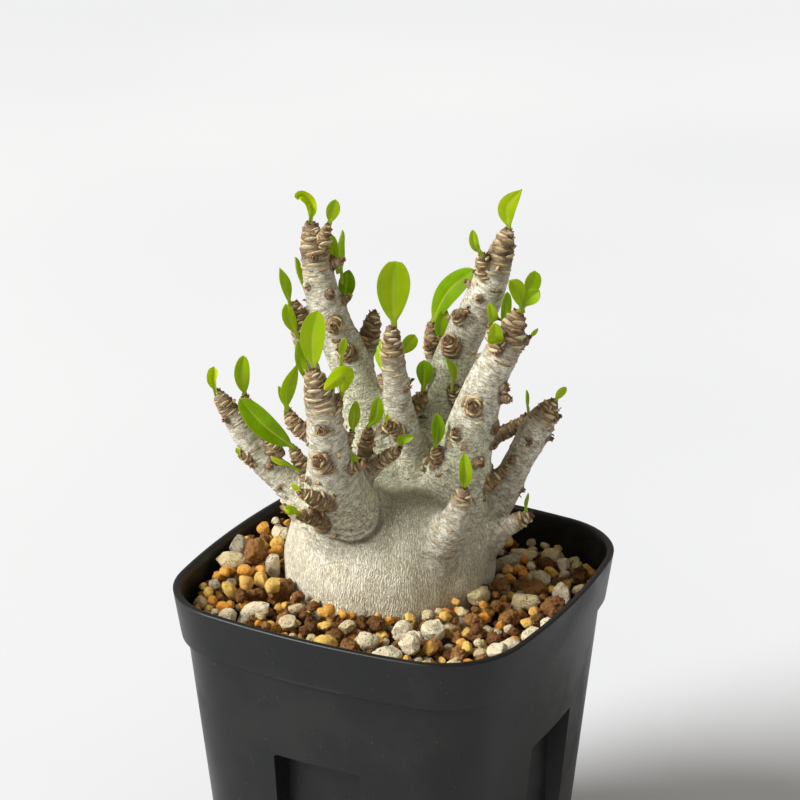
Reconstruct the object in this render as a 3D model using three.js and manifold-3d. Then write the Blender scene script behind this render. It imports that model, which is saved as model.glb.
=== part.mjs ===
// A desert rose, a caudex with many bare branches and small leaves, in a square nursery pot.
// Millimetres, +Z up. The origin is the centre of the pot's footprint, on the surface it stands on.
import * as THREE from 'three';
import { mergeVertices } from 'three/addons/utils/BufferGeometryUtils.js';
import Module from 'manifold-3d';

const wasm = await Module();
wasm.setup();

// Driving dimensions
const GAP = 0.3;                 // clearance kept between pieces that touch
const RIM_HALF = 45;             // half of the pot's width across the rim
const POT_HEIGHT = 90;
const RIM_DEPTH = 12;            // height of the band around the rim
const BAND_HALF = 43.5;          // half width at the foot of the band
const WALL_TOP_HALF = 42.3;      // half width of the wall just under the band
const WALL_FOOT_HALF = 35.4;     // half width of the wall at the ground
const WALL = 1.6;                // thickness of the wall and the floor
const SIDE_BOW = 200;            // radius of the slightly bowed sides, at the rim
const CORNER_RADIUS = 20;        // radius of the rounded corners, at the rim
const FOOT_HEIGHT = 4;           // the floor stands on four corner feet
const CHANNEL_HALF = 11;         // half width of the drainage channels between the feet
const DRAIN_RADIUS = 3.5;
const PANEL_HALF = 10.5;         // the recessed panel low on each side
const PANEL_TOP = 56.5;
const PANEL_INSET = 3.2;
const SOIL_LEVEL = 82.3;
const SOIL_BUMP = 0.7;           // height of the bumps of the potting mix
const CAUDEX_X = -6;             // the swollen stem stands a little off the pot's centre
const CAUDEX_Y = 8;
const LEAF_THICKNESS = 0.7;
const LIMB_SIDES = 8;
const LIMB_STEP = 4.5;           // spacing of the rings along a branch
const FRONT = new THREE.Vector3(0.45, -0.89, 0);   // the side the plant is seen best from

// Working with closed solids
function moved(geometry, place) {
  const position = geometry.attributes.position;
  const point = new THREE.Vector3();
  for (let i = 0; i < position.count; i += 1) {
    place(point.fromBufferAttribute(position, i));
    position.setXYZ(i, point.x, point.y, point.z);
  }
  return geometry;
}

function solid(geometry) {
  geometry.deleteAttribute('normal');
  geometry.deleteAttribute('uv');
  const merged = mergeVertices(geometry, 0.001);
  const vertProperties = new Float32Array(merged.attributes.position.array);
  const triVerts = new Uint32Array(merged.index.array);
  return new wasm.Manifold(new wasm.Mesh({ numProp: 3, vertProperties, triVerts }));
}

function joined(solids) {
  return solids.reduce((whole, next) => whole.add(next));
}

function largest(pieces) {
  return pieces.decompose().reduce((best, next) => (next.volume() > best.volume() ? next : best));
}

function finish(name, shape, material) {
  const { vertProperties, triVerts } = shape.getMesh();
  const geometry = new THREE.BufferGeometry();
  geometry.setAttribute('position', new THREE.BufferAttribute(vertProperties, 3));
  geometry.setIndex(new THREE.BufferAttribute(triVerts, 1));
  geometry.computeVertexNormals();
  const mesh = new THREE.Mesh(geometry, material);
  mesh.name = name;
  group.add(mesh);
}

function material(red, green, blue, roughness) {
  const color = new THREE.Color(red, green, blue);
  return new THREE.MeshStandardMaterial({ color, roughness, metalness: 0 });
}

const plastic = material(0.03, 0.03, 0.035, 0.45);
const grit = material(0.42, 0.22, 0.09, 0.95);
const bark = material(0.55, 0.51, 0.42, 0.75);
const foliage = material(0.36, 0.56, 0.03, 0.35);
const group = new THREE.Group();

// The pot: a rounded square whose sides bow out a little, worked out once at the rim's size
function potOutline() {
  const bowCentre = SIDE_BOW - RIM_HALF;
  const reach = SIDE_BOW - CORNER_RADIUS;
  const corner = (Math.sqrt(2 * reach ** 2 - bowCentre ** 2) - bowCentre) / 2;
  const blend = Math.atan2(corner, corner + bowCentre);
  const shape = new THREE.Shape();
  for (let quarter = 0; quarter < 4; quarter += 1) {
    const turn = quarter * Math.PI / 2;
    const bow = new THREE.Vector2(-bowCentre, 0).rotateAround(new THREE.Vector2(), turn);
    const round = new THREE.Vector2(corner, corner).rotateAround(new THREE.Vector2(), turn);
    shape.absarc(bow.x, bow.y, SIDE_BOW, turn - blend, turn + blend);
    shape.absarc(round.x, round.y, CORNER_RADIUS, turn + blend, turn + Math.PI / 2 - blend);
  }
  return shape;
}

function taperedBlock(bottom, top, halfBottom, halfTop) {
  const depth = top - bottom;
  const block = new THREE.ExtrudeGeometry(potOutline(), { depth, bevelEnabled: false, curveSegments: 3 });
  return solid(moved(block, (p) => {
    const width = THREE.MathUtils.mapLinear(p.z, 0, depth, halfBottom, halfTop) / RIM_HALF;
    p.set(p.x * width, p.y * width, p.z + bottom);
  }));
}

function box(centre, size) {
  return solid(new THREE.BoxGeometry(...size).translate(...centre));
}

function wallHalf(height) {
  return THREE.MathUtils.mapLinear(height, 0, POT_HEIGHT - RIM_DEPTH, WALL_FOOT_HALF, WALL_TOP_HALF);
}

// The four recesses, larger by grow on every side
function panels(grow) {
  const depth = 20;
  const height = PANEL_TOP + 20;
  return joined([0, 1, 2, 3].map((side) => {
    const face = wallHalf(PANEL_TOP / 2) - PANEL_INSET - grow + depth / 2;
    const recess = new THREE.BoxGeometry(depth, 2 * (PANEL_HALF + grow), height);
    return solid(recess.translate(face, 0, PANEL_TOP + grow - height / 2).rotateZ(side * Math.PI / 2));
  }));
}

// The space inside the pot, smaller by shrink on every side
function potInside(shrink) {
  const floor = FOOT_HEIGHT + WALL + shrink;
  const step = POT_HEIGHT - RIM_DEPTH + WALL;
  const inset = WALL + shrink;
  const below = taperedBlock(floor, step + 1, wallHalf(floor) - inset, wallHalf(step + 1) - inset);
  const above = taperedBlock(step + shrink, POT_HEIGHT + 1, BAND_HALF - inset, RIM_HALF - inset);
  return below.add(above).subtract(panels(inset));
}

function drain(x, y) {
  const hole = new THREE.CylinderGeometry(DRAIN_RADIUS, DRAIN_RADIUS, 4 * FOOT_HEIGHT, 12);
  return solid(hole.rotateX(Math.PI / 2).translate(x, y, 0));
}

function pot() {
  const step = POT_HEIGHT - RIM_DEPTH;
  const wall = taperedBlock(0, step + 1, WALL_FOOT_HALF, wallHalf(step + 1));
  const band = taperedBlock(step, POT_HEIGHT, BAND_HALF, RIM_HALF);
  const across = box([0, 0, 0], [4 * RIM_HALF, 2 * CHANNEL_HALF, 2 * FOOT_HEIGHT]);
  const along = box([0, 0, 0], [2 * CHANNEL_HALF, 4 * RIM_HALF, 2 * FOOT_HEIGHT]);
  const spread = 24;
  const holes = [[0, 0], [spread, 0], [-spread, 0], [0, spread], [0, -spread]].map(([x, y]) => drain(x, y));
  const openings = joined([potInside(0), panels(0), across, along, ...holes]);
  return wall.add(band).subtract(openings);
}

// A round limb along a route of [x, y, z, radius] points, with a flat foot and a rounded tip
function limb(route, grow = 0) {
  const curve = new THREE.CatmullRomCurve3(route.map(([x, y, z]) => new THREE.Vector3(x, y, z)));
  const steps = Math.max(2, Math.ceil(curve.getLength() / LIMB_STEP));
  const { tangents, normals, binormals } = curve.computeFrenetFrames(steps);
  const radiusAt = (station) => {
    const place = curve.getUtoTmapping(station / steps) * (route.length - 1);
    const before = Math.min(Math.floor(place), route.length - 2);
    return THREE.MathUtils.lerp(route[before][3], route[before + 1][3], place - before) + grow;
  };
  const profile = [new THREE.Vector2(0, 0)];
  for (let station = 0; station <= steps; station += 1) {
    profile.push(new THREE.Vector2(radiusAt(station), station));
  }
  const tip = radiusAt(steps);
  profile.push(new THREE.Vector2(0.6 * tip, steps + 0.5), new THREE.Vector2(0, steps + 0.7));
  return solid(moved(new THREE.LatheGeometry(profile, LIMB_SIDES), (p) => {
    const station = Math.min(Math.round(p.y - 0.3), steps);
    const beyond = station === steps ? (p.y - steps) * tip : 0;
    const centre = curve.getPointAt(station / steps).addScaledVector(tangents[station], beyond);
    p.copy(centre.addScaledVector(normals[station], p.x).addScaledVector(binormals[station], -p.z));
  }));
}

// The caudex: a squat swollen stem with shoulders under its main branches and a root in the mix.
// Each point of the profile is [radius, height].
const CAUDEX_PROFILE = [
  [0, 42], [7, 44], [15, 54], [21, 66], [24, 76], [25, 84],
  [24.5, 92], [22, 99], [17, 105], [9, 109], [0, 110],
];
const SHOULDERS = [
  [-9, -4, 99, 12], [-17, -1, 97, 9], [12, 14, 96, 9], [4, 15, 103, 11], [-6, 8, 107, 8], [9, 0, 93, 8],
];

function caudex(grow = 0) {
  const top = CAUDEX_PROFILE.length - 1;
  const profile = CAUDEX_PROFILE.map(([radius, height], index) => {
    const atEnd = index === 0 || index === top;
    const lift = index < top / 2 ? -grow : grow;
    return new THREE.Vector2(atEnd ? 0 : radius + grow, height + lift);
  });
  const dome = new THREE.LatheGeometry(profile, 24).rotateX(Math.PI / 2).translate(CAUDEX_X, CAUDEX_Y, 0);
  const bulges = SHOULDERS.map(([x, y, z, radius]) => (
    solid(new THREE.IcosahedronGeometry(radius + grow, 1).translate(x, y, z))));
  return joined([solid(dome), ...bulges]);
}

// Every branch: its route from the caudex to the tip, then the routes of its short side shoots.
// Each point is [x, y, z, radius]. A later branch is cut clear of the earlier ones.
const BRANCHES = {
  branch_tall_left: [
    [[-7, 6, 106, 7.5], [-9, 5, 120, 5.8], [-14, 4, 136, 4.9], [-20, 3, 150, 4.3], [-22, 2, 162, 3.2],
      [-23, 2, 169, 2.2]],
    [[-21, 2, 163, 1.6], [-19, 1, 167, 1.5], [-18, 1, 170, 1.1]],
    [[-13, 2, 139, 2.2], [-13, -2, 142, 1.8]],
    [[-17, 2, 147, 2.2], [-15, -2, 147, 1.8]],
  ],
  branch_tall_right: [
    [[1, 16, 102, 9], [1, 18, 115, 7.6], [2, 20, 124, 6], [5, 22, 138, 4.8], [11, 22, 150, 4.5],
      [15, 23, 162, 2.9], [16, 24, 167, 1.9]],
    [[13, 22, 155, 2.2], [12, 20, 159, 2], [12, 19, 162, 1.5]],
    [[7, 20, 145, 2], [7, 16, 148, 1.6]],
    [[5, 19, 138, 2.4], [6, 14, 142, 2]],
    [[7, 18, 125, 1.8], [7, 15, 130, 1.4]],
  ],
  branch_right: [
    [[8, 9, 102, 9], [12, 11, 116, 6.6], [14, 10, 124, 5.8], [17, 12, 135, 4.6], [21, 14, 144, 3.6],
      [23, 15, 151, 2.1]],
    [[20, 12, 142, 2], [20, 10, 146, 1.8], [19, 9, 149, 1.5]],
    [[22, 16, 142, 1.6], [25, 17, 145, 1]],
    [[16, 9, 129, 2.4], [17, 4, 131, 2]],
    [[18, 12, 124, 2.2], [20, 10, 124, 1.8]],
    [[12, 8, 120, 1.8], [13, 4, 124, 1.6]],
    [[7, 7, 111, 1.6], [8, 4, 119, 1.5]],
  ],
  branch_middle: [
    [[0, 9, 106, 6.2], [-1, 7, 118, 4.4], [-2, 6, 125, 3.6], [-3, 4, 138, 2.8], [-3, 3, 147, 1.8]],
    [[-2, 8, 123, 1.8], [-1, 14, 127, 1.6]],
    [[-1, 4, 121, 1.8], [-1, -3, 126, 1.5]],
  ],
  branch_front_left: [
    [[-10, -6, 100, 10.5], [-9, -13, 112, 7.6], [-8, -17, 120, 5.6], [-7, -21, 130, 4.2], [-7, -23, 137, 3.7],
      [-8, -25, 145, 2.1]],
    [[-9, -20, 127, 2.1], [-14, -22, 130, 1.9], [-16, -22, 133, 1.5]],
    [[-7, -21, 131, 1.8], [-3, -22, 138, 1.3]],
    [[-6, -18, 124, 1.8], [-3, -16, 128, 1.3]],
    [[-7, -20, 121, 2.2], [-6, -27, 125, 1.9]],
  ],
  twig_front_upper: [[[-6, -15, 110, 2.2], [-8, -22, 113, 1.9], [-11, -26, 116, 1.4]]],
  twig_front_lower: [[[-8, -13, 103, 2.2], [-10, -21, 108, 1.9], [-12, -25, 110, 1.5]]],
  branch_left_low: [
    [[-18, -2, 98, 5.4], [-26, -4, 107, 4.2], [-32, -7, 113, 3.3], [-36, -9, 121, 3], [-40, -11, 128, 1.9],
      [-41, -11, 130, 1.2]],
    [[-34, -8, 124, 1.8], [-35, -9, 129, 1.3]],
    [[-31, -8, 112, 1.7], [-35, -11, 115, 1.3]],
    [[-28, -6, 114, 2.2], [-30, -7, 119, 1.6]],
  ],
  twig_left_upright: [[[-19, -5, 106, 2], [-21, -7, 113, 1.8], [-23, -8, 118, 1.5]]],
  branch_right_low: [
    [[12, 13, 93, 6], [17, 19, 103, 4.5], [21, 21, 112, 3.6], [25, 23, 121, 3.7], [28, 25, 127, 1.9]],
    [[26, 23, 123, 1.6], [30, 24, 124, 1.1]],
  ],
  branch_far_right: [[[13, 11, 90, 4], [19, 13, 95, 3], [21, 13, 98, 2.6], [27, 15, 102, 1.7]]],
  branch_front: [[[9, -1, 93, 6], [14, -3, 102, 4.9], [17, -4, 107, 3.3], [19, -4, 114, 1.8]]],
  branch_thin_left: [
    [[-10, 1, 112, 3.2], [-17, 2, 119, 2.6], [-21, 1, 130, 2.2], [-24, -1, 142, 2.1], [-25, -2, 151, 1.6]],
  ],
  branch_left_fork: [[[-10, 8, 122, 3], [-14, 10, 134, 2.6], [-14, 11, 140, 2.5], [-13, 11, 146, 1.8]]],
  branch_back_thin: [
    [[1, 25, 103, 3.6], [0, 30, 113, 3], [-3, 33, 120, 2.4], [-8, 35, 130, 2.1], [-9, 36, 137, 1.6]],
  ],
  twig_right_upper: [[[11, 19, 113, 2.6], [14, 24, 116, 1.9], [19, 28, 119, 1.8], [20, 28, 121, 1.5]]],
  twig_right_lower: [[[10, 9, 105, 2.4], [17, 11, 109, 2], [21, 14, 113, 1.5]]],
  twig_front_middle: [
    [[-6, -6, 111, 2.2], [0, -10, 119, 1.7], [6, -11, 124, 1.4]],
    [[-5, -8, 116, 1.8], [-2, -10, 127, 1.5]],
  ],
  branch_back_left: [[[-12, 17, 99, 6], [-12, 21, 107, 4.4], [-17, 28, 116, 3.2], [-20, 31, 123, 2]]],
  branch_back_low: [[[-11, 24, 92, 5.5], [-15, 31, 98, 3.8], [-20, 38, 108, 2]]],
};

// Every leaf: [base, middle, tip, half width, turn], where turn rolls the blade about its midrib
const LEAVES = {
  leaf_tall_left_tip: [[-23, 2, 171], [-22, 1, 173], [-24, -3, 176], 1.7, 10],
  leaf_tall_left_twig: [[-18, 1, 171], [-17, 1, 174], [-17, 3, 177], 1.6, 15],
  leaf_tall_left_behind: [[-18, 7, 157], [-20, 10, 162], [-19, 10, 166], 1.6, 60],
  leaf_tall_left_side: [[-18, 8, 149], [-18, 10, 153], [-18, 10, 157], 1.8, -20],
  leaf_thin_left_upper: [[-26, -3, 151], [-27, -3, 155], [-29, -2, 159], 1.5, 45],
  leaf_thin_left_lower: [[-25, -4, 145], [-26, -5, 149], [-26, -4, 152], 1.5, 20],
  leaf_front_left_tip: [[-8, -25, 147], [-6, -28, 154], [-4, -29, 161], 2.7, -15],
  leaf_front_left_back: [[-11, -22, 141], [-14, -20, 145], [-15, -19, 149], 1.4, 40],
  leaf_front_left_shoot: [[-16, -23, 134], [-15, -24, 140], [-13, -23, 145], 1.5, 50],
  leaf_front_left_folded: [[-3, -21, 139], [-1, -23, 146], [-4, -27, 142], 2.2, 0],
  leaf_front_left_right: [[-3, -16, 129], [-2, -17, 133], [-2, -16, 136], 1.1, 20],
  leaf_front_low_yellow: [[-12, -26, 111], [-13, -28, 113], [-15, -29, 113], 1.5, 0],
  leaf_left_twig: [[-35, -9, 130], [-35, -10, 135], [-35, -9, 139], 1.8, 10],
  leaf_left_tip: [[-42, -11, 131], [-41, -12, 133], [-41, -11, 137], 1.5, 30],
  leaf_left_long: [[-23, -9, 119], [-28, -12, 124], [-34, -13, 130], 2.4, -25],
  leaf_left_small: [[-22, -11, 115], [-23, -12, 116], [-26, -13, 117], 1.1, -40],
  leaf_middle_tip: [[-3, 3, 149], [-2, 2, 156], [-3, 5, 163], 3.9, 5],
  leaf_middle_behind: [[-3, 8, 138], [-3, 12, 140], [-3, 16, 141], 1.5, 30],
  leaf_middle_shoot: [[-1, 15, 129], [-1, 15, 132], [-1, 15, 136], 2, 0],
  leaf_middle_curled: [[6, -10, 125], [7, -11, 127], [10, -11, 128], 1.1, 0],
  leaf_middle_dark: [[-2, -10, 128], [0, -10, 131], [0, -9, 135], 1.5, -15],
  leaf_middle_low: [[8, 4, 120], [8, 3, 124], [8, 4, 128], 1.6, 10],
  leaf_back_large: [[-9, 36, 138], [-6, 37, 145], [1, 38, 152], 3.3, -35],
  leaf_back_small: [[-6, 35, 133], [-6, 35, 137], [-6, 37, 141], 1.7, 10],
  leaf_back_left: [[-20, 32, 124], [-22, 34, 128], [-25, 36, 131], 2, 160],
  leaf_back_low: [[-20, 39, 109], [-22, 41, 112], [-23, 42, 116], 2, 180],
  leaf_tall_right_tip: [[16, 24, 168], [16, 23, 172], [19, 25, 178], 2.1, -20],
  leaf_tall_right_shoot: [[12, 18, 163], [11, 17, 165], [10, 18, 168], 1.1, 10],
  leaf_tall_right_front: [[7, 14, 131], [7, 14, 134], [6, 13, 138], 1.4, 55],
  leaf_right_tip_left: [[23, 14, 152], [23, 12, 157], [24, 9, 161], 1.5, 40],
  leaf_right_tip_back: [[23, 17, 152], [23, 20, 155], [25, 22, 160], 1.6, 10],
  leaf_right_tip_side: [[24, 15, 152], [27, 13, 156], [30, 12, 158], 1.3, -30],
  leaf_right_shoot: [[19, 9, 150], [20, 8, 152], [19, 8, 155], 1.1, 10],
  leaf_right_round: [[21, 8, 146], [21, 6, 149], [22, 5, 152], 1.6, 0],
  leaf_right_dark: [[18, 18, 146], [17, 21, 150], [17, 22, 154], 1.4, 40],
  leaf_right_low_tip: [[29, 25, 128], [29, 25, 130], [31, 27, 132], 1.3, 20],
  leaf_front_tip: [[19, -4, 115], [20, -5, 119], [19, -4, 123], 1.5, -10],
};

// The blade's outline: its half width at even steps from the petiole to the tip
const LEAF_OUTLINE = [0.25, 0.3, 0.8, 1, 0.95, 0.7];

function leaf(base, middle, tip, halfWidth, turn) {
  const curve = new THREE.CatmullRomCurve3([base, middle, tip].map((point) => new THREE.Vector3(...point)));
  const last = LEAF_OUTLINE.length;
  const profile = LEAF_OUTLINE.map((radius, station) => new THREE.Vector2(radius, station));
  profile.unshift(new THREE.Vector2(0, 0));
  profile.push(new THREE.Vector2(0, last));
  return solid(moved(new THREE.LatheGeometry(profile, 6), (p) => {
    const along = curve.getTangentAt(p.y / last);
    const facing = FRONT.clone().applyAxisAngle(along, THREE.MathUtils.degToRad(turn));
    const across = facing.cross(along).normalize();
    const face = across.clone().cross(along);
    const radius = Math.max(Math.hypot(p.x, p.z), 0.001);
    const thick = (p.z / radius) * (LEAF_THICKNESS / 2);
    const centre = curve.getPointAt(p.y / last);
    p.copy(centre.addScaledVector(across, p.x * halfWidth).addScaledVector(face, thick));
  }));
}

// The potting mix fills the pot under a bumpy surface, with some bigger stones half sunk in it.
// Each stone is [x, y, longest half size].
const STONES = [
  [-35, -2, 3.2], [-28, -20, 3], [-31, -29, 3.4], [6, -24, 3.4], [13, -27, 3], [19, -22, 3.2], [24, 39, 3.6],
  [17, 34, 3.6], [24, 9, 3.2], [29, 14, 3.2], [35, 20, 3.6], [37, 2, 3.4], [36, -10, 3.4], [32, -21, 3],
];

function pottingMix() {
  const size = 2 * RIM_HALF;
  const block = new THREE.BoxGeometry(size, size, SOIL_LEVEL, 12, 12, 1).translate(0, 0, SOIL_LEVEL / 2);
  const bumpy = solid(moved(block, (p) => {
    const bump = Math.sin(0.9 * p.x + 0.5 * p.y) + Math.cos(0.8 * p.y - 0.4 * p.x);
    p.z += p.z > SOIL_LEVEL / 2 ? SOIL_BUMP * bump : 0;
  }));
  const stones = STONES.map(([x, y, radius], index) => {
    const stone = new THREE.DodecahedronGeometry(radius).scale(1, 0.75, 0.65).rotateZ(index);
    return solid(stone.translate(x, y, SOIL_LEVEL + 0.25 * radius));
  });
  return joined([bumpy, ...stones]).intersect(potInside(GAP)).subtract(caudex(GAP));
}

finish('pot', pot(), plastic);
finish('potting_mix', largest(pottingMix()), grit);
finish('caudex', caudex(), bark);

const woodWithGap = [caudex(GAP)];
for (const [name, routes] of Object.entries(BRANCHES)) {
  const whole = joined(routes.map((route) => limb(route)));
  finish(name, largest(woodWithGap.reduce((left, cutter) => left.subtract(cutter), whole)), bark);
  woodWithGap.push(joined(routes.map((route) => limb(route, GAP))));
}

const wood = joined(woodWithGap);
for (const [name, [base, middle, tip, halfWidth, turn]] of Object.entries(LEAVES)) {
  finish(name, largest(leaf(base, middle, tip, halfWidth, turn).subtract(wood)), foliage);
}

export default group;
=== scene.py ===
import math

import bmesh
import bpy
import numpy as np
from mathutils import Matrix, Vector, noise
from mathutils.bvhtree import BVHTree


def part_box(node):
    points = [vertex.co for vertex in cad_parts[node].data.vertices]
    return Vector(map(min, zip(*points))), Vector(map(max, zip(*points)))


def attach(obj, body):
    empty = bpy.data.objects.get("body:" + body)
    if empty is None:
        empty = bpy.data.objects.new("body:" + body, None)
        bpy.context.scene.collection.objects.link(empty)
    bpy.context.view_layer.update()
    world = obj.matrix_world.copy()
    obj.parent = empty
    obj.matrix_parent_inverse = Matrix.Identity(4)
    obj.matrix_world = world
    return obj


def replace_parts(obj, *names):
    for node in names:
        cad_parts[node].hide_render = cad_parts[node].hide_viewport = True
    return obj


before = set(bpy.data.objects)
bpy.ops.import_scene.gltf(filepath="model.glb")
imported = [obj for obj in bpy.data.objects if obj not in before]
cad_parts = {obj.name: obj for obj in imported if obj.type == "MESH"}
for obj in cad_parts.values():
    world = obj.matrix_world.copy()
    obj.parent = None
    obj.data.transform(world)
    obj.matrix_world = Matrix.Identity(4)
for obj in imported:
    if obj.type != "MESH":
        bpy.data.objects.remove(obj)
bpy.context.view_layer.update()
MM = 0.001

# %% [markdown]
# ## The camera
#
# A long lens half a metre away keeps the pot's far rim nearly as wide as its near one, as
# the eye sees a small plant on a table. The camera stands 27 degrees round from the pot's front and
# looks down at 21 degrees, so that the mix shows inside the rim.
# %% Camera
AIM = Vector((0.6, 0.3, 131.1)) * MM
CAMERA_AZIMUTH = math.radians(27)
CAMERA_HEIGHT = math.radians(21)
CAMERA_DISTANCE = 550 * MM
toward_camera = Vector((
    math.sin(CAMERA_AZIMUTH) * math.cos(CAMERA_HEIGHT),
    -math.cos(CAMERA_AZIMUTH) * math.cos(CAMERA_HEIGHT),
    math.sin(CAMERA_HEIGHT),
))
camera = bpy.data.objects.new("camera", bpy.data.cameras.new("camera"))
camera.data.lens = 108.7
camera.data.sensor_width = 36
camera.location = AIM + CAMERA_DISTANCE * toward_camera
camera.rotation_euler = toward_camera.to_track_quat("Z", "Y").to_euler()
bpy.context.scene.collection.objects.link(camera)
bpy.context.scene.camera = camera
bpy.context.scene.view_settings.view_transform = "Standard"
print("camera at, mm:", [round(x / MM) for x in camera.location])

# %% [markdown]
# ## Shader expressions
#
# A material is easier to read as arithmetic than as boxes and wires. `Link` wraps one output socket,
# so that `1 - mask` or `age * 0.5` adds the Math node that it means. `Finish` holds one material, and
# its `node` method makes any node: its settings are set first, then its inputs.
# %% Shader helpers
class Link:
    """One value that varies over a surface, usable in Python arithmetic."""

    def __init__(self, finish, socket):
        self.finish = finish
        self.socket = socket

    def math(self, operation, first, second=0.0):
        return self.finish.node("ShaderNodeMath", {"operation": operation}, {0: first, 1: second})

    def __add__(self, other):
        return self.math("ADD", self, other)

    def __sub__(self, other):
        return self.math("SUBTRACT", self, other)

    def __rsub__(self, other):
        return self.math("SUBTRACT", other, self)

    def __mul__(self, other):
        return self.math("MULTIPLY", self, other)

    def clamped(self):
        return self.finish.node("ShaderNodeClamp", {}, {"Value": self})

    def between(self, low, high):
        """0 below low, 1 above high, and a smooth step from one to the other."""
        settings = {"interpolation_type": "SMOOTHSTEP"}
        return self.finish.node("ShaderNodeMapRange", settings, {"Value": self, 1: low, 2: high})

    __radd__ = __add__
    __rmul__ = __mul__


class Finish:
    """One material, built node by node."""

    def __init__(self, name):
        self.material = bpy.data.materials.new(name)
        self.material.use_nodes = True
        self.tree = self.material.node_tree
        self.tree.nodes.clear()

    def node(self, kind, settings=None, inputs=None, output=0):
        made = self.tree.nodes.new(kind)
        for key, value in (settings or {}).items():
            if key == "stops":
                for stop, (place, colour) in zip(ramp_stops(made, len(value)), value):
                    stop.position = place
                    stop.color = (*colour, 1)
            else:
                setattr(made, key, value)
        for key, value in (inputs or {}).items():
            if isinstance(value, Link):
                self.tree.links.new(value.socket, made.inputs[key])
            else:
                made.inputs[key].default_value = value
        return Link(self, made.outputs[output]) if made.outputs else None

    def place(self, stretch=(1, 1, 1)):
        """The point's own place in the frame, in millimetres, stretched for grain or wrinkles."""
        where = self.node("ShaderNodeTexCoord", output=3)
        scale = [1 / MM * share for share in stretch]
        return self.node("ShaderNodeVectorMath", {"operation": "MULTIPLY"}, {0: where, 1: scale})

    def noise(self, scale, detail=3.0, roughness=0.55, distortion=0.0, where=None):
        inputs = {"Vector": where or self.place(), "Scale": scale, "Detail": detail}
        inputs.update({"Roughness": roughness, "Distortion": distortion})
        return self.node("ShaderNodeTexNoise", {}, inputs)

    def cells(self, scale):
        return self.node("ShaderNodeTexVoronoi", {}, {"Vector": self.place(), "Scale": scale})

    def split(self, vector):
        """The three numbers of a vector."""
        first = self.node("ShaderNodeSeparateXYZ", {}, {0: vector})
        return [Link(self, socket) for socket in first.socket.node.outputs]

    def painted(self, name):
        """A number painted on the mesh's vertices."""
        return self.node("ShaderNodeAttribute", {"attribute_name": name}, output=2)

    def ramp(self, value, *stops):
        return self.node("ShaderNodeValToRGB", {"stops": stops}, {"Fac": value})

    def mix(self, first, second, share):
        settings = {"data_type": "RGBA", "clamp_factor": True}
        inputs = {0: share, 6: rgba(first), 7: rgba(second)}
        return self.node("ShaderNodeMix", settings, inputs, output=2)

    def bump(self, height, distance, below=None, strength=1.0):
        inputs = {"Height": height, "Distance": distance * MM, "Strength": strength}
        if below:
            inputs["Normal"] = below
        return self.node("ShaderNodeBump", {}, inputs)

    def surface(self, inputs, through=None):
        """Ends the material in a Principled shader; through is the share of light a thin sheet lets by."""
        shader = self.node("ShaderNodeBsdfPrincipled", {}, inputs)
        if through:
            colour, share = through
            thin = self.node("ShaderNodeBsdfTranslucent", {}, {"Color": rgba(colour)})
            shader = self.node("ShaderNodeMixShader", {}, {0: share, 1: shader, 2: thin})
        self.node("ShaderNodeOutputMaterial", {}, {"Surface": shader})
        return self.material


def ramp_stops(made, count):
    elements = made.color_ramp.elements
    while len(elements) < count:
        elements.new(0.5)
    return elements


def rgba(colour):
    return colour if isinstance(colour, Link) else (*colour, 1)


# %% [markdown]
# ## Meshes from arrays
#
# Bark, leaves and grains are shaped by formulas over thousands of points, which numpy works out all at
# once. These helpers turn the arrays into Blender meshes, and store painted numbers on the vertices.
# %% Mesh helpers
def mesh_piece(name, points, faces, material):
    mesh = bpy.data.meshes.new(name)
    mesh.from_pydata([tuple(p) for p in points], [], faces)
    mesh.validate()
    mesh.update()
    mesh.polygons.foreach_set("use_smooth", [True] * len(mesh.polygons))
    piece = bpy.data.objects.new(name, mesh)
    bpy.context.scene.collection.objects.link(piece)
    if material:
        mesh.materials.append(material)
    return piece


def paint(piece, name, values):
    attribute = piece.data.attributes.new(name, "FLOAT", "POINT")
    attribute.data.foreach_set("value", np.asarray(values, np.float32))


def settled(piece):
    """The piece with its modifiers applied to its mesh."""
    bpy.context.view_layer.update()
    shaped = bpy.data.meshes.new_from_object(piece.evaluated_get(bpy.context.evaluated_depsgraph_get()))
    piece.modifiers.clear()
    piece.data = shaped
    return piece


def points_of(piece):
    co = np.empty(len(piece.data.vertices) * 3)
    piece.data.vertices.foreach_get("co", co)
    return co.reshape(-1, 3)


def normals_of(piece):
    across = np.empty(len(piece.data.vertices) * 3)
    piece.data.vertices.foreach_get("normal", across)
    return across.reshape(-1, 3)


def move_points(piece, points):
    piece.data.vertices.foreach_set("co", np.asarray(points, np.float32).ravel())
    piece.data.update()


def grid_faces(rows, columns):
    """Quads between closed rings whose points are numbered ring by ring."""
    return [
        (row * columns + c, row * columns + (c + 1) % columns,
         (row + 1) * columns + (c + 1) % columns, (row + 1) * columns + c)
        for row in range(rows - 1) for c in range(columns)
    ]


def end_faces(rows, columns):
    """The two flat faces that close the first and the last of such rings."""
    return [tuple(range(columns - 1, -1, -1)), tuple(range((rows - 1) * columns, rows * columns))]


def joined_shapes(shapes):
    """One list of points and one of faces from several (points, faces)."""
    points, faces, start = [], [], 0
    for shape_points, shape_faces in shapes:
        points.append(np.asarray(shape_points, float))
        faces.extend(tuple(i + start for i in face) for face in shape_faces)
        start += len(shape_points)
    return np.vstack(points), faces


def unit(vectors):
    return vectors / np.maximum(np.linalg.norm(vectors, axis=-1, keepdims=True), 1e-12)


def smoothstep(value, low, high):
    share = np.clip((value - low) / (high - low), 0, 1)
    return share * share * (3 - 2 * share)


def cloud(points, size, seed=0.0):
    """Smooth noise from -1 to 1 at every point, with lumps of that size in the points' units."""
    shifted = points / size + seed
    return np.array([noise.noise(Vector(p)) for p in shifted])

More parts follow.
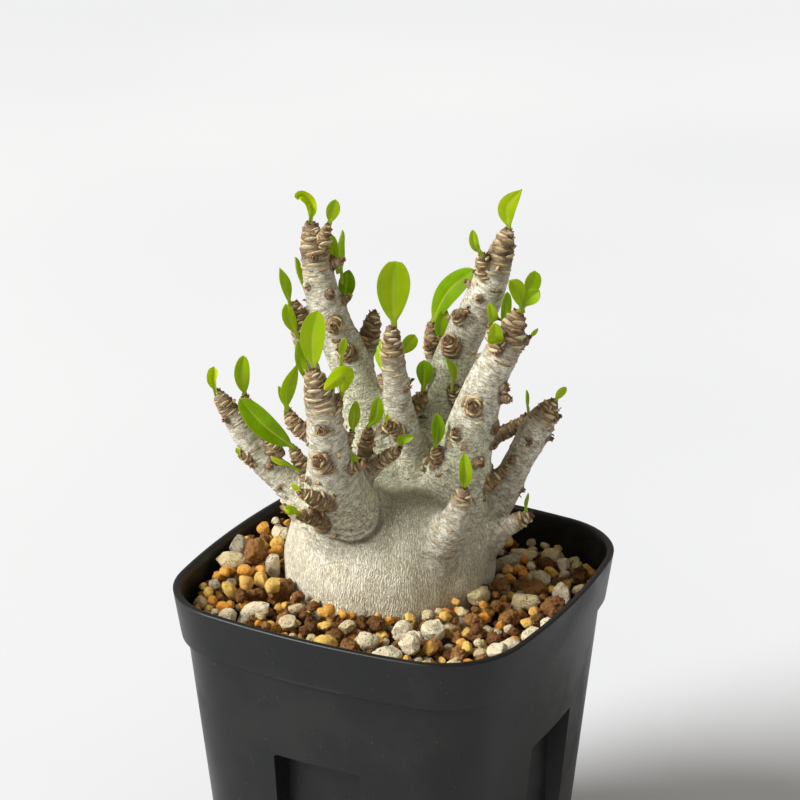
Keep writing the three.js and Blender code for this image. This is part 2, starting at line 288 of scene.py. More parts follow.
# %% [markdown]
# ## The pot
#
# The pot is injection moulded in black polypropylene: a rounded square whose sides bow out a little, a
# tapering wall, a band round the rim and a recessed panel low on each side. Its wall could be solidified
# from one sheet, but the rim's roll and the recess need their own profile, so the pot is one grid of
# rings that climbs the outside, rolls over the lip and goes down the inside.
# %% The pot's sizes, in millimetres
POT_HIGH = np.array(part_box("pot")[1]) / MM
RIM_HALF = POT_HIGH[0]
POT_HEIGHT = POT_HIGH[2]
BAND_FOOT = POT_HEIGHT - 12
BAND_HALF = RIM_HALF - 1.5
WALL_TOP_HALF = RIM_HALF - 2.7
WALL_FOOT_HALF = RIM_HALF - 9.6
WALL = 1.6
FLOOR = 5.6
PANEL_HALF = 10.5
PANEL_TOP = 56.5
PANEL_FACE = (WALL_TOP_HALF - WALL_FOOT_HALF) * PANEL_TOP / 2 / BAND_FOOT + WALL_FOOT_HALF - 3.2
CORNER_STEPS = 12
BOW_RADIUS = 200
CORNER_RADIUS = 20
PANEL_EDGE = 0.45
print("pot, mm:", 2 * RIM_HALF, "wide,", POT_HEIGHT, "tall, panel face at", round(PANEL_FACE, 1))


# %% One ring of the pot
def wall_half(height):
    return WALL_FOOT_HALF + (WALL_TOP_HALF - WALL_FOOT_HALF) * height / BAND_FOOT


def outline_arcs(half):
    """The radius of a side's bow and how far its centre lies beyond the middle, and the same of a corner."""
    bow, corner_radius = BOW_RADIUS * half / RIM_HALF, CORNER_RADIUS * half / RIM_HALF
    centre = bow - half
    corner = (math.sqrt(2 * (bow - corner_radius) ** 2 - centre ** 2) - centre) / 2
    return bow, centre, corner_radius, corner


def pot_ring(half, height, inside):
    """The outline at one height: four bowed sides with the panel pressed in, and four round corners."""
    bow, centre, corner_radius, corner = outline_arcs(half)
    blend = math.atan2(corner, corner + centre)
    panel = PANEL_HALF + inside * WALL
    middle = [panel + PANEL_EDGE * step for step in (-3, -1, 1, 3)]
    outer = np.linspace(panel + 4 * PANEL_EDGE, bow * math.sin(blend), 6)
    lateral = np.array([0, 0.4 * panel, 0.75 * panel, *middle, *outer[1:]])
    lateral = np.concatenate([-lateral[:0:-1], lateral])
    out = np.sqrt(bow ** 2 - lateral ** 2) - centre
    top = PANEL_TOP + inside * WALL
    pressed = 1 - smoothstep(np.abs(lateral), panel - PANEL_EDGE, panel + PANEL_EDGE)
    pressed *= 1 - smoothstep(height, top - PANEL_EDGE, top + PANEL_EDGE)
    out += pressed * np.minimum(PANEL_FACE - inside * WALL - out, 0)
    turn = np.linspace(blend, math.pi / 2 - blend, CORNER_STEPS)[1:-1]
    x = np.concatenate([out, corner + corner_radius * np.cos(turn)])
    y = np.concatenate([lateral, corner + corner_radius * np.sin(turn)])
    quarters = [(x, y), (-y, x), (-x, -y), (y, -x)]
    ring = np.concatenate([np.column_stack(quarter) for quarter in quarters])
    return np.column_stack([ring, np.full(len(ring), height)])


# %% Rings from the foot, over the lip and down to the floor
rings = [(WALL_FOOT_HALF - 0.4, 0, 0), (WALL_FOOT_HALF, 0.5, 0)]
rings += [(wall_half(z), z, 0) for z in (4, 12, 24, 36, 48, 54, 56.05, 56.5, 56.95, 58, 66, 74, 77.6)]
rings += [(BAND_HALF - 0.35, BAND_FOOT, 0), (BAND_HALF, BAND_FOOT + 0.3, 0)]
rings += [(BAND_HALF + 1.5 * share, BAND_FOOT + 12 * share, 0) for share in (0.1, 0.3, 0.6, 0.85, 0.95)]
lip = [(-0.04, -0.35), (-0.2, -0.1), (-0.5, 0), (-1.0, 0), (-1.35, -0.12), (-1.55, -0.4)]
rings += [(RIM_HALF + out, POT_HEIGHT + up, 0) for out, up in lip]
rings += [(BAND_HALF + 1.5 * share - WALL, BAND_FOOT + 12 * share, 1) for share in (0.85, 0.5, 0.2)]
rings += [(wall_half(z) - WALL, z, 1) for z in (79, 74, 66, 59, 58.6, 58.1, 57.6, 56, 40, 20, 8)]
rings += [(wall_half(FLOOR) - WALL - 1, FLOOR, 1)]
pot_points = [pot_ring(*ring) for ring in rings]
columns = len(pot_points[0])
pot_faces = grid_faces(len(rings), columns) + end_faces(len(rings), columns)
pot = mesh_piece("pot_shell", np.vstack(pot_points) * MM, pot_faces, None)
print("pot rings:", len(rings), "of", columns, "points")


# %% Drainage channels and holes
def block(size):
    corners = [(x, y, z) for x in (-1, 1) for y in (-1, 1) for z in (-1, 1)]
    faces = [(0, 1, 3, 2), (4, 6, 7, 5), (0, 4, 5, 1), (2, 3, 7, 6), (0, 2, 6, 4), (1, 5, 7, 3)]
    return np.array(corners) * np.array(size) / 2, faces


def rod(radius, low, high, x, y, sides=32):
    turn = np.arange(sides) * 2 * math.pi / sides
    ring = np.column_stack([x + radius * np.cos(turn), y + radius * np.sin(turn)])
    points = [np.column_stack([ring, np.full(sides, z)]) for z in (low, high)]
    return np.vstack(points), grid_faces(2, sides) + end_faces(2, sides)


def cut(piece, points, faces):
    cutter = mesh_piece("cutter", points * MM, faces, None)
    boolean = piece.modifiers.new("cut", "BOOLEAN")
    boolean.operation = "DIFFERENCE"
    boolean.solver = "EXACT"
    boolean.object = cutter
    settled(piece)
    bpy.data.objects.remove(cutter)


CHANNEL = 22
DRAIN_SPREAD = 24
for size in ((4 * RIM_HALF, CHANNEL, 8), (CHANNEL, 4 * RIM_HALF, 8)):
    cut(pot, *block(size))
for x, y in ((0, 0), (DRAIN_SPREAD, 0), (-DRAIN_SPREAD, 0), (0, DRAIN_SPREAD), (0, -DRAIN_SPREAD)):
    cut(pot, *rod(3.5, -8, 8, x, y))
pot.data.set_sharp_from_angle(angle=math.radians(40))
print("pot faces:", len(pot.data.polygons))

# %% [markdown]
# ## Black nursery plastic
#
# Nursery pots are dyed with soot-black pigment and come out satin, not glossy. Handling and watering
# leave a thin uneven film and specks of dust from the mix, most of them low on the wall. The specks are
# the centres of scattered cells, kept only where a second noise allows them.
# %% Pot finish
finish = Finish("black_plastic")
film = finish.noise(0.06, detail=4).between(0.42, 0.68)
grain = finish.noise(3.2, detail=2)
speck_cells = finish.cells(0.55)
speck_size = finish.noise(0.9, detail=1) * 0.28 - 0.055
specks = (speck_size - speck_cells).between(0.0, 0.03)
scuffs = finish.noise(1.2, detail=5, where=finish.place((1, 1, 0.15))).between(0.62, 0.8)
colour = finish.mix((0.0045, 0.005, 0.0055), (0.011, 0.011, 0.011), film)
colour = finish.mix(colour, (0.035, 0.034, 0.032), scuffs * 0.35)
colour = finish.mix(colour, (0.12, 0.105, 0.09), specks * 0.3)
roughness = (0.38 + film * 0.14 + scuffs * 0.12 + specks * 0.3).clamped()
height = finish.bump(grain * 0.5 + scuffs * 0.3 + specks, 0.05)
black_plastic = finish.surface({
    "Base Color": colour, "Roughness": roughness, "Normal": height, "Specular IOR Level": 0.3,
})
pot.data.materials.append(black_plastic)
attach(pot, "root")
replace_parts(pot, "pot")
print("black plastic nodes:", len(finish.tree.nodes))

# %% [markdown]
# ## Where the wood grows
#
# A desert rose swells at its base and pushes branches out of the swelling, and each branch carries
# short stubs where buds woke and stopped. A branch could be sculpted, but a route of a few points with
# a radius at each is quicker to correct. The first route of each branch is its own, the others are its
# stubs, and every point is [x, y, z, radius] in millimetres.
# %% Branch routes
BRANCHES = {
    "branch_tall_left": [
        [[-7, 6, 106, 7.5], [-9, 5, 120, 5.8], [-14, 4, 136, 4.9], [-20, 3, 150, 4.3], [-22, 2, 162, 3.2],
         [-23, 2, 169, 2.2]],
        [[-21, 2, 163, 1.6], [-19, 1, 167, 1.5], [-18, 1, 170, 1.1]],
        [[-13, 2, 139, 2.2], [-13, -2, 142, 1.8]],
        [[-17, 2, 147, 2.2], [-15, -2, 147, 1.8]],
    ],
    "branch_tall_right": [
        [[1, 16, 102, 9], [1, 18, 115, 7.6], [2, 20, 124, 6], [5, 22, 138, 4.8], [11, 22, 150, 4.5],
         [15, 23, 162, 2.9], [16, 24, 167, 1.9]],
        [[13, 22, 155, 2.2], [12, 20, 159, 2], [12, 19, 162, 1.5]],
        [[7, 20, 145, 2], [7, 16, 148, 1.6]],
        [[5, 19, 138, 2.4], [6, 14, 142, 2]],
        [[7, 18, 125, 1.8], [7, 15, 130, 1.4]],
    ],
    "branch_right": [
        [[8, 9, 102, 9], [12, 11, 116, 6.6], [14, 10, 124, 5.8], [17, 12, 135, 4.6], [21, 14, 144, 3.6],
         [23, 15, 151, 2.1]],
        [[20, 12, 142, 2], [20, 10, 146, 1.8], [19, 9, 149, 1.5]],
        [[22, 16, 142, 1.6], [25, 17, 145, 1]],
        [[16, 9, 129, 2.4], [17, 4, 131, 2]],
        [[18, 12, 124, 2.2], [20, 10, 124, 1.8]],
        [[12, 8, 120, 1.8], [13, 4, 124, 1.6]],
        [[7, 7, 111, 1.6], [8, 4, 119, 1.5]],
    ],
    "branch_middle": [
        [[0, 9, 106, 6.2], [-1, 7, 118, 4.4], [-2, 6, 125, 3.6], [-3, 4, 138, 2.8], [-3, 3, 147, 1.8]],
        [[-2, 8, 123, 1.8], [-1, 14, 127, 1.6]],
        [[-1, 4, 121, 1.8], [-1, -3, 126, 1.5]],
    ],
    "branch_front_left": [
        [[-10, -6, 100, 10.5], [-9, -13, 112, 7.6], [-8, -17, 120, 5.6], [-7, -21, 130, 4.2],
         [-7, -23, 137, 3.7], [-8, -25, 145, 2.1]],
        [[-9, -20, 127, 2.1], [-14, -22, 130, 1.9], [-16, -22, 133, 1.5]],
        [[-7, -21, 131, 1.8], [-3, -22, 138, 1.3]],
        [[-6, -18, 124, 1.8], [-3, -16, 128, 1.3]],
        [[-7, -20, 121, 2.2], [-6, -27, 125, 1.9]],
    ],
    "twig_front_upper": [[[-6, -15, 110, 2.2], [-8, -22, 113, 1.9], [-11, -26, 116, 1.4]]],
    "twig_front_lower": [[[-8, -13, 103, 2.2], [-10, -21, 108, 1.9], [-12, -25, 110, 1.5]]],
    "branch_left_low": [
        [[-18, -2, 98, 5.4], [-26, -4, 107, 4.2], [-32, -7, 113, 3.3], [-36, -9, 121, 3],
         [-40, -11, 128, 1.9], [-41, -11, 130, 1.2]],
        [[-34, -8, 124, 1.8], [-35, -9, 129, 1.3]],
        [[-31, -8, 112, 1.7], [-35, -11, 115, 1.3]],
        [[-28, -6, 114, 2.2], [-30, -7, 119, 1.6]],
    ],
    "twig_left_upright": [[[-19, -5, 106, 2], [-21, -7, 113, 1.8], [-23, -8, 118, 1.5]]],
    "branch_right_low": [
        [[12, 13, 93, 6], [17, 19, 103, 4.5], [21, 21, 112, 3.6], [25, 23, 121, 3.7], [28, 25, 127, 1.9]],
        [[26, 23, 123, 1.6], [30, 24, 124, 1.1]],
    ],
    "branch_far_right": [[[13, 11, 90, 4], [19, 13, 95, 3], [21, 13, 98, 2.6], [27, 15, 102, 1.7]]],
    "branch_front": [[[9, -1, 93, 6], [14, -3, 102, 4.9], [17, -4, 107, 3.3], [19, -4, 114, 1.8]]],
    "branch_thin_left": [
        [[-10, 1, 112, 3.2], [-17, 2, 119, 2.6], [-21, 1, 130, 2.2], [-24, -1, 142, 2.1],
         [-25, -2, 151, 1.6]],
    ],
    "branch_left_fork": [
        [[-10, 8, 122, 3], [-14, 10, 134, 2.6], [-13.3, 11.3, 140, 2.5], [-11.8, 11.6, 146.3, 1.8]],
    ],
    "branch_back_thin": [
        [[1, 25, 103, 3.6], [0, 30, 113, 3], [-3, 33, 120, 2.4], [-8, 35, 130, 2.1], [-9, 36, 137, 1.6]],
    ],
    "twig_right_upper": [[[11, 19, 113, 2.6], [14, 24, 116, 1.9], [19, 28, 119, 1.8], [20, 28, 121, 1.5]]],
    "twig_right_lower": [[[10, 9, 105, 2.4], [17, 11, 109, 2], [21, 14, 113, 1.5]]],
    "twig_front_middle": [
        [[-6, -6, 111, 2.2], [0, -10, 119, 1.7], [6, -11, 124, 1.4]],
        [[-5, -8, 116, 1.8], [-2, -10, 127, 1.5]],
    ],
    "branch_back_left": [[[-12, 17, 99, 6], [-12, 21, 107, 4.4], [-17, 28, 116, 3.2], [-20, 31, 123, 2]]],
    "branch_back_low": [[[-11, 24, 92, 5.5], [-15, 31, 98, 3.8], [-20, 38, 108, 2]]],
}

# %% The swollen stem
CAUDEX_CENTRE = (-6, 8)
CAUDEX_PROFILE = [(0, 66), (21, 67), (24, 76), (25, 84), (24.5, 92), (22, 99), (17, 105), (9, 109), (0, 110)]
SHOULDERS = [
    (-9, -4, 99, 12), (-17, -1, 97, 9), (12, 14, 96, 9), (4, 15, 103, 11), (-6, 8, 107, 8), (9, 0, 93, 8),
    (5, 0, 99.5, 10), (12.5, 3, 88, 7.5),
]
DARK_TWIGS = {
    "twig_front_upper": 0.8, "twig_front_lower": 0.85, "twig_left_upright": 0.45, "branch_thin_left": 0.5,
    "branch_left_fork": 0.15, "twig_right_upper": 0.6, "twig_right_lower": 0.6, "twig_front_middle": 0.45,
    "branch_back_thin": 0.4, "branch_back_low": 0.3, "branch_back_left": 0.3,
}
STUB_BROWN = 0.75
# How far from a branch's tip its old leaf bases have stayed on; elsewhere it is 14 mm
BASES_REACH = {"branch_front": 5, "branch_far_right": 5, "branch_right_low": 8, "branch_left_low": 11}
print("branches:", len(BRANCHES), "routes:", sum(len(routes) for routes in BRANCHES.values()))

# %% [markdown]
# ## Rings along a route
#
# A Catmull-Rom curve passes through every point of a route, so the branch goes where the points say. It
# is sampled every 0.8 mm, and each sample keeps its radius, its direction and its distance to the tip.
# %% Sample the routes
STATION = 0.8
FRONT = np.array([0.45, -0.89, 0.0])


class Route:
    """A limb's samples: centre, radius, direction, and how far each one is from the tip."""

    def __init__(self, points, branch, stub):
        knots = np.array(points, float)
        knots = np.vstack([2 * knots[0] - knots[1], knots, 2 * knots[-1] - knots[-2]])
        shares = np.linspace(0, 1, 24, endpoint=False)[:, None]
        dense = []
        for k in range(1, len(knots) - 2):
            a, b, c, d = knots[k - 1:k + 3]
            dense.append(b + shares * 0.5 * (c - a + shares * (
                2 * a - 5 * b + 4 * c - d + shares * (3 * (b - c) + d - a))))
        dense = np.vstack([*dense, knots[-2]])
        reach = np.concatenate([[0], np.cumsum(np.linalg.norm(np.diff(dense[:, :3], axis=0), axis=1))])
        even = np.linspace(0, reach[-1], max(4, round(reach[-1] / STATION)))
        samples = np.column_stack([np.interp(even, reach, dense[:, i]) for i in range(4)])
        self.centre, self.radius = samples[:, :3], samples[:, 3]
        self.to_tip = reach[-1] - even
        self.radius = self.radius * (1 - 0.28 * np.exp(-self.to_tip / 1.3))
        self.along = unit(np.gradient(self.centre, axis=0))
        side = FRONT - self.along * (self.along @ FRONT)[:, None]
        self.side = unit(side)
        self.other = np.cross(self.along, self.side)
        self.branch, self.stub = branch, stub


routes = [
    Route(points, branch, index > 0)
    for branch, branch_routes in BRANCHES.items() for index, points in enumerate(branch_routes)
]
print("samples:", sum(len(route.radius) for route in routes))

# %% [markdown]
# ## Sleeping buds
#
# Between its leaf scars old wood carries knobs, where a bud woke for one season and stopped. The ones
# that show most are listed as [x, y, z, radius, length] on the bark, and more are strewn over the
# rest of the wood. Each is one more short route, so the skin will grow over it like over any limb.
# %% Add the buds
PLACED_BUDS = [
    [-20.8, -0.9, 162.1, 1.2, 1.2], [-17.4, 0.5, 153.5, 1.2, 1.5], [-17.2, 3.5, 160, 1.3, 1.9],
    [-15.8, 4.8, 151, 1.2, 1.6], [0.3, 3.9, 132.5, 1.0, 1.3], [8.4, 16, 148.2, 1.2, 1.5],
    [10.7, 20.7, 156.5, 1.2, 1.4], [-8.3, 33.1, 131.5, 1.4, 1.7], [0, 12.1, 127, 1.6, 2.4],
    [21.3, 11.2, 133.7, 1.6, 1.3], [22, 11.6, 131, 1.5, 1.2], [17.1, 7.1, 115.9, 1.6, 2.0],
    [-2.6, -17.1, 120.2, 1.9, 3.6], [-5.6, -25.4, 131.6, 1.7, 0.9], [20.5, 9.5, 143, 1.3, 1.4],
    [12.1, 18, 151.6, 1.1, 1.1], [-10, -23, 110.5, 1.4, 1.0], [24.5, 20, 118, 1.2, 1.2],
    [19.5, 17.5, 110, 1.1, 1.0],
]
BUD_SLIMNESS = 0.86
chance = np.random.default_rng(5)


def bud_route(place, out, radius, length, branch):
    radius = radius * BUD_SLIMNESS
    rise = unit(out + np.array([0, 0, 0.55]))
    start, end = place - out * radius, place + rise * length
    middle = (start + end) / 2
    knots = [[*start, radius * 1.25], [*middle, radius * 1.1], [*end, radius * 0.85]]
    return Route(knots, branch, True)


buds = []
for x, y, z, radius, length in PLACED_BUDS:
    place = np.array([x, y, z])
    apart = [np.linalg.norm(route.centre - place, axis=1) - route.radius for route in routes]
    nearest = min(range(len(routes)), key=lambda i: apart[i].min())
    row = apart[nearest].argmin()
    route = routes[nearest]
    out = place - route.centre[row]
    out = unit(out - route.along[row] * (out @ route.along[row]))
    buds.append(bud_route(place, out, radius, length, route.branch))
for route in routes:
    if route.stub or route.to_tip[0] < 22 or route.branch == "branch_front":
        continue
    at = chance.uniform(6, 10)
    while at < min(route.to_tip[0] - 8, 36):
        row = np.abs(route.to_tip - at).argmin()
        angle = chance.uniform(-math.pi, math.pi)
        out = math.cos(angle) * route.side[row] + math.sin(angle) * route.other[row]
        radius = chance.uniform(0.8, 1.25)
        place = route.centre[row] + out * route.radius[row]
        buds.append(bud_route(place, out, radius, chance.uniform(0.4, 1.3), route.branch))
        at += chance.uniform(4.5, 9)
routes += buds
print("buds:", len(buds))

# %% [markdown]
# ## One skin over all of it
#
# The limbs are tubes and the stem is a turned dome. Booleans would leave hard creases where bark flows
# from stem to branch, so the shapes are only put together, and a voxel remesh wraps them in one closed
# skin, which is then smoothed more on old wood than on young tips.
# %% Tubes, dome and shoulders
TUBE_SIDES = 20
SKIN_VOXEL = 0.47


def limb_tube(route):
    turn = np.arange(TUBE_SIDES) * 2 * math.pi / TUBE_SIDES
    round_off = [(0, 1)] + [(math.sin(a) * 0.6, math.cos(a)) for a in (0.5, 0.95, 1.3)]
    rings = [(i, 0.0, 1.0) for i in range(len(route.radius) - 1)]
    rings += [(-1, up * route.radius[-1], thin) for up, thin in round_off]
    points = []
    for i, up, thin in rings:
        centre = route.centre[i] + up * route.along[i]
        radius = route.radius[i] * thin
        ring = np.outer(np.cos(turn), route.side[i]) + np.outer(np.sin(turn), route.other[i])
        points.append(centre + radius * ring)
    return np.vstack(points), grid_faces(len(rings), TUBE_SIDES) + end_faces(len(rings), TUBE_SIDES)


def turned(profile, centre, sides=72):
    turn = np.arange(sides) * 2 * math.pi / sides
    points = [np.column_stack([centre[0] + r * np.cos(turn), centre[1] + r * np.sin(turn), np.full(sides, z)])
              for r, z in profile]
    return np.vstack(points), grid_faces(len(profile), sides) + end_faces(len(profile), sides)


def ball(x, y, z, radius):
    rings = np.linspace(-1.5, 1.5, 25)
    return turned([(radius * math.cos(a), z + radius * math.sin(a)) for a in rings], (x, y), 32)


def through(knots, steps):
    """A smooth curve through all the knots but the first and the last, which only steer its ends."""
    share = np.linspace(0, 1, steps, endpoint=False)[:, None]
    spans = []
    for a, b, c, d in zip(knots, knots[1:], knots[2:], knots[3:]):
        bend = 2 * a - 5 * b + 4 * c - d
        spans.append(b + share * 0.5 * (c - a + share * (bend + share * (3 * (b - c) + d - a))))
    return np.vstack([*spans, knots[-2]])


def smooth_profile(profile):
    return through(np.array([profile[0], *profile, profile[-1]], float), 8)


dome = smooth_profile(CAUDEX_PROFILE)
dome = [(max(r, 0.05), z) for r, z in dome]
shapes = [turned(dome, CAUDEX_CENTRE)] + [ball(*shoulder) for shoulder in SHOULDERS]
shapes += [limb_tube(route) for route in routes]
wood_points, wood_faces = joined_shapes(shapes)
wood = mesh_piece("woody_plant", wood_points * MM, wood_faces, None)
remesh = wood.modifiers.new("skin", "REMESH")
remesh.mode = "VOXEL"
remesh.voxel_size = SKIN_VOXEL * MM
remesh.use_smooth_shade = True
settled(wood)
print("skin faces:", len(wood.data.polygons))


# %% Which limb each point of the skin belongs to
def neighbour_sums(piece):
    ends = np.empty(len(piece.data.edges) * 2, int)
    piece.data.edges.foreach_get("vertices", ends)
    a, b = ends.reshape(-1, 2).T
    here, there = np.concatenate([a, b]), np.concatenate([b, a])
    count = np.bincount(here, minlength=len(piece.data.vertices))
    return here, there, np.maximum(count, 1)


def neighbour_mean(values, links):
    here, there, count = links
    if values.ndim == 1:
        return np.bincount(here, values[there], len(count)) / count
    return np.column_stack([neighbour_mean(column, links) for column in values.T])


def softened(values, links, times, share=0.5):
    """Values moved towards their neighbours' mean, over and over; share may differ from point to point."""
    for _ in range(times):
        pull = neighbour_mean(values, links) - values
        values = values + pull * (share if np.ndim(share) == 0 or values.ndim == 1 else share[:, None])
    return values


sample_centre = np.vstack([route.centre for route in routes]).astype(np.float32)
sample_radius = np.concatenate([route.radius for route in routes]).astype(np.float32)
sample_route = np.concatenate([np.full(len(route.radius), i) for i, route in enumerate(routes)])


def nearest_samples(points):
    """For each point, the limb sample whose surface is nearest, and how far outside that surface it is."""
    best = np.empty(len(points), int)
    gap = np.empty(len(points))
    squares = (sample_centre ** 2).sum(axis=1)
    for start in range(0, len(points), 4000):
        some = points[start:start + 4000].astype(np.float32)
        apart = (some ** 2).sum(axis=1)[:, None] + squares - 2 * some @ sample_centre.T
        apart = np.sqrt(np.maximum(apart, 0)) - sample_radius
        best[start:start + 4000] = apart.argmin(axis=1)
        gap[start:start + 4000] = apart.min(axis=1)
    return best, gap


def stem_gap(points):
    """How far each point is outside the stem's dome and shoulders."""
    flat = np.hypot(points[:, 0] - CAUDEX_CENTRE[0], points[:, 1] - CAUDEX_CENTRE[1])
    z = [height for _, height in dome]
    gap = flat - np.interp(points[:, 2], z, [radius for radius, _ in dome], right=0)
    gap = np.where(points[:, 2] > 108, np.maximum(gap, points[:, 2] - 110), gap)
    for x, y, height, radius in SHOULDERS:
        gap = np.minimum(gap, np.linalg.norm(points - (x, y, height), axis=1) - radius)
    return gap


links = neighbour_sums(wood)
points = points_of(wood) / MM
sample, gap = nearest_samples(points)
to_tip = np.concatenate([route.to_tip for route in routes])[sample]
young = 1 - smoothstep(softened(to_tip, links, 12), 8, 26)
young *= smoothstep(stem_gap(points), 0, 4)
points = softened(points, links, 45, 0.5 * np.clip(1 - 0.96 * young, 0.02, 1))
points = softened(points, links, 2)
move_points(wood, points * MM)
print("points near a tip:", int((young > 0.5).sum()), "of", len(points))

# %% [markdown]
# ## Leaf scars
#
# Every fallen leaf leaves a small cushion: a lens-shaped scar that faces up and out, dark at its centre,
# with a swelling under it. Leaves leave the stem each 137.5 degrees further round, the golden angle, so
# the scars stand in a spiral. They crowd at the tips and stretch apart as the wood thickens.
# %% Carve the scars
GOLDEN = math.radians(137.5)


def wrapped(angle):
    return (angle + math.pi) % (2 * math.pi) - math.pi


def wood_frame(points):
    """Each point's limb, distance to the tip, turn round the limb, and distance from its centre line."""
    sample, gap = nearest_samples(points)
    along = np.vstack([route.along for route in routes])[sample]
    offset = points - np.vstack([route.centre for route in routes])[sample]
    up = (offset * along).sum(axis=1)
    to_tip = np.concatenate([route.to_tip for route in routes])[sample] - up
    x = (offset * np.vstack([route.side for route in routes])[sample]).sum(axis=1)
    y = (offset * np.vstack([route.other for route in routes])[sample]).sum(axis=1)
    return sample_route[sample], to_tip, np.arctan2(y, x), np.hypot(x, y), gap


limb, to_tip, turn, reach, gap = wood_frame(points)
on_stem = smoothstep(gap - stem_gap(points), -1.5, 2.5)
height = np.zeros(len(points))
scar = np.zeros(len(points))
pit = np.zeros(len(points))
chance = np.random.default_rng(11)
scar_tone = np.full(len(points), 0.5)
scars = 0
for number, route in enumerate(routes):
    mine = np.flatnonzero(limb == number)
    if not len(mine):
        continue
    at, angle = 0.1, chance.uniform(-math.pi, math.pi)
    size = float(np.interp(route.radius[-1], [0.8, 2.4], [0.62, 1.0]))
    deepest = min(route.to_tip[0], 30)
    while at < deepest:
        fade = float(1 - smoothstep(at, 7, 26))
        half_wide = (1.1 + 0.03 * at) * size * chance.uniform(0.7, 1.35)
        half_tall = (0.42 + 0.006 * at) * size * chance.uniform(0.75, 1.3)
        slant = chance.normal(0, 0.22)
        u = wrapped(turn[mine] - angle) * np.maximum(reach[mine], 0.8) / half_wide
        v = (to_tip[mine] - at) / half_tall + slant * u
        near = (np.abs(u) < 1.5) & (np.abs(v) < 3.5)
        rows, u, v = mine[near], u[near], v[near]
        lens = u ** 2 + (v - 0.35 * (1 - u ** 2)) ** 2
        face = 1 - smoothstep(lens, 0.5, 1.3)
        shelf = np.exp(-1.2 * u ** 4) * np.where(v > 0.3, np.exp(-(v - 0.3) * 1.1), smoothstep(v, -1.2, 0.3))
        depth = np.exp(-5 * lens) * (at < 9)
        strength = (0.2 + 0.8 * fade) * size * chance.uniform(0.6, 1.2)
        height[rows] = np.maximum(height[rows], 0.26 * shelf * strength)
        newer = face * (0.12 + 0.88 * fade) > scar[rows]
        scar_tone[rows[newer]] = chance.random()
        scar[rows] = np.maximum(scar[rows], face * (0.12 + 0.88 * fade))
        pit[rows] = np.maximum(pit[rows], depth * fade)
        angle += GOLDEN + chance.normal(0, 0.15)
        at += 0.36 * size * (1 + 0.11 * at) * chance.uniform(0.7, 1.4)
        scars += 1
height *= 1 - 0.85 * on_stem
scar *= 1 - 0.6 * on_stem
height -= 0.1 * pit
print("scars:", scars)

# %% [markdown]
# ## The fold under the front shoulder
#
# The front branch has grown out over the stem like a sleeve, and a deep crease with a few finer folds
# beside it runs round the shoulder's foot. The crease is a path on the bark: the skin is pushed in along
# it and out on the shoulder's side of it.
# %% Press the fold
FOLD = [
    (-29, -4, 99.5), (-25, -9.5, 101.5), (-19.5, -14.5, 103), (-14.5, -16.4, 103.4), (-10.5, -17.9, 103),
    (-8.3, -17.3, 102), (-5.9, -16.1, 101), (-4.1, -15, 100.6), (-2.4, -13.9, 100.8), (-1.1, -12.8, 101.4),
    (0, -11.5, 102.3), (0.5, -10.2, 103.4), (0.4, -8.8, 104.8), (-0.2, -7.7, 106.2), (-2.2, -4.3, 109.1),
]
FOLD_TOWARD = np.array([-10.0, -8.0, 112.0])
knots = np.array(FOLD, float)
reach_along = np.concatenate([[0], np.cumsum(np.linalg.norm(np.diff(knots, axis=0), axis=1))])
fine = np.linspace(0, reach_along[-1], 120)
fold = np.column_stack([np.interp(fine, reach_along, knots[:, i]) for i in range(3)])
fold_strength = smoothstep(fine, 0, 6) * (1 - smoothstep(fine, reach_along[-1] - 9, reach_along[-1]))
near = np.flatnonzero((points[:, 2] < 116) & (points[:, 0] < 8) & (points[:, 1] < 6))
apart = np.linalg.norm(points[near, None, :] - fold[None, :, :], axis=2)
closest = apart.argmin(axis=1)
apart = apart.min(axis=1)
shoulder_side = ((points[near] - fold[closest]) * (FOLD_TOWARD - fold[closest])).sum(axis=1) > 0
strength = fold_strength[closest]
signed = np.where(shoulder_side, apart, -apart)
crease_depth = 0.55 * np.exp(-(apart / 0.55) ** 2)
bulge = 0.75 * np.exp(-((signed - 1.6) / 1.5) ** 2) * shoulder_side
ripples = 0.3 * np.cos(signed * 2 * math.pi / 1.5 + 0.6) * np.exp(-(signed / 5.5) ** 2) * shoulder_side
height[near] += (bulge + ripples - crease_depth) * strength
# Painted shade along the crease and in the troughs of the finer folds, kept for the bark.
fold_shade = np.zeros(len(points))
fold_shade[near] = (np.exp(-(apart / 0.5) ** 2) + smoothstep(-ripples, 0.05, 0.25) * 0.7) * strength
print("fold length, mm:", round(float(reach_along[-1]), 1))

# %% [markdown]
# ## Wrinkles and lumps
#
# Between the scars the bark is drawn in by faint rings where growth paused, and the swollen stem is
# lumpy under its smooth skin. These are soft shapes, so smooth noise moves the points along their
# normals. The finest wrinkles are left to the material.
# %% Move the skin
move_points(wood, points * MM)
out = normals_of(wood)
flat_turn = np.column_stack([np.cos(turn), np.sin(turn)]) * 1.1
rings = cloud(np.column_stack([flat_turn, to_tip * 0.75 + limb * 17.0]), 1.0, 3.0)
lumps = cloud(points, 5.5, 8.0)
swell = cloud(points, 13.0, 21.0)
aged = smoothstep(to_tip, 4, 45)
aged = np.maximum(aged, on_stem)
ragged = cloud(points * (1, 1, 1.6), 0.85, 13.0) * (1 - smoothstep(to_tip, 4, 14)) * (1 - on_stem)
ridges = 1 - 2 * np.abs(cloud(np.column_stack([flat_turn * 1.3, to_tip * 0.95 + limb * 9.0]), 1.0, 31.0))
ridges = smoothstep(ridges, 0.75, 1.0) * smoothstep(to_tip, 8, 16) * (1 - on_stem)
move = height + rings * 0.15 * (1 - on_stem) * (1 - 0.5 * aged) + ragged * 0.17 - ridges * 0.16
move += lumps * (0.12 + 0.16 * aged) + swell * 0.45 * aged
points = points + out * move[:, None]
move_points(wood, points * MM)
wood.data.update()
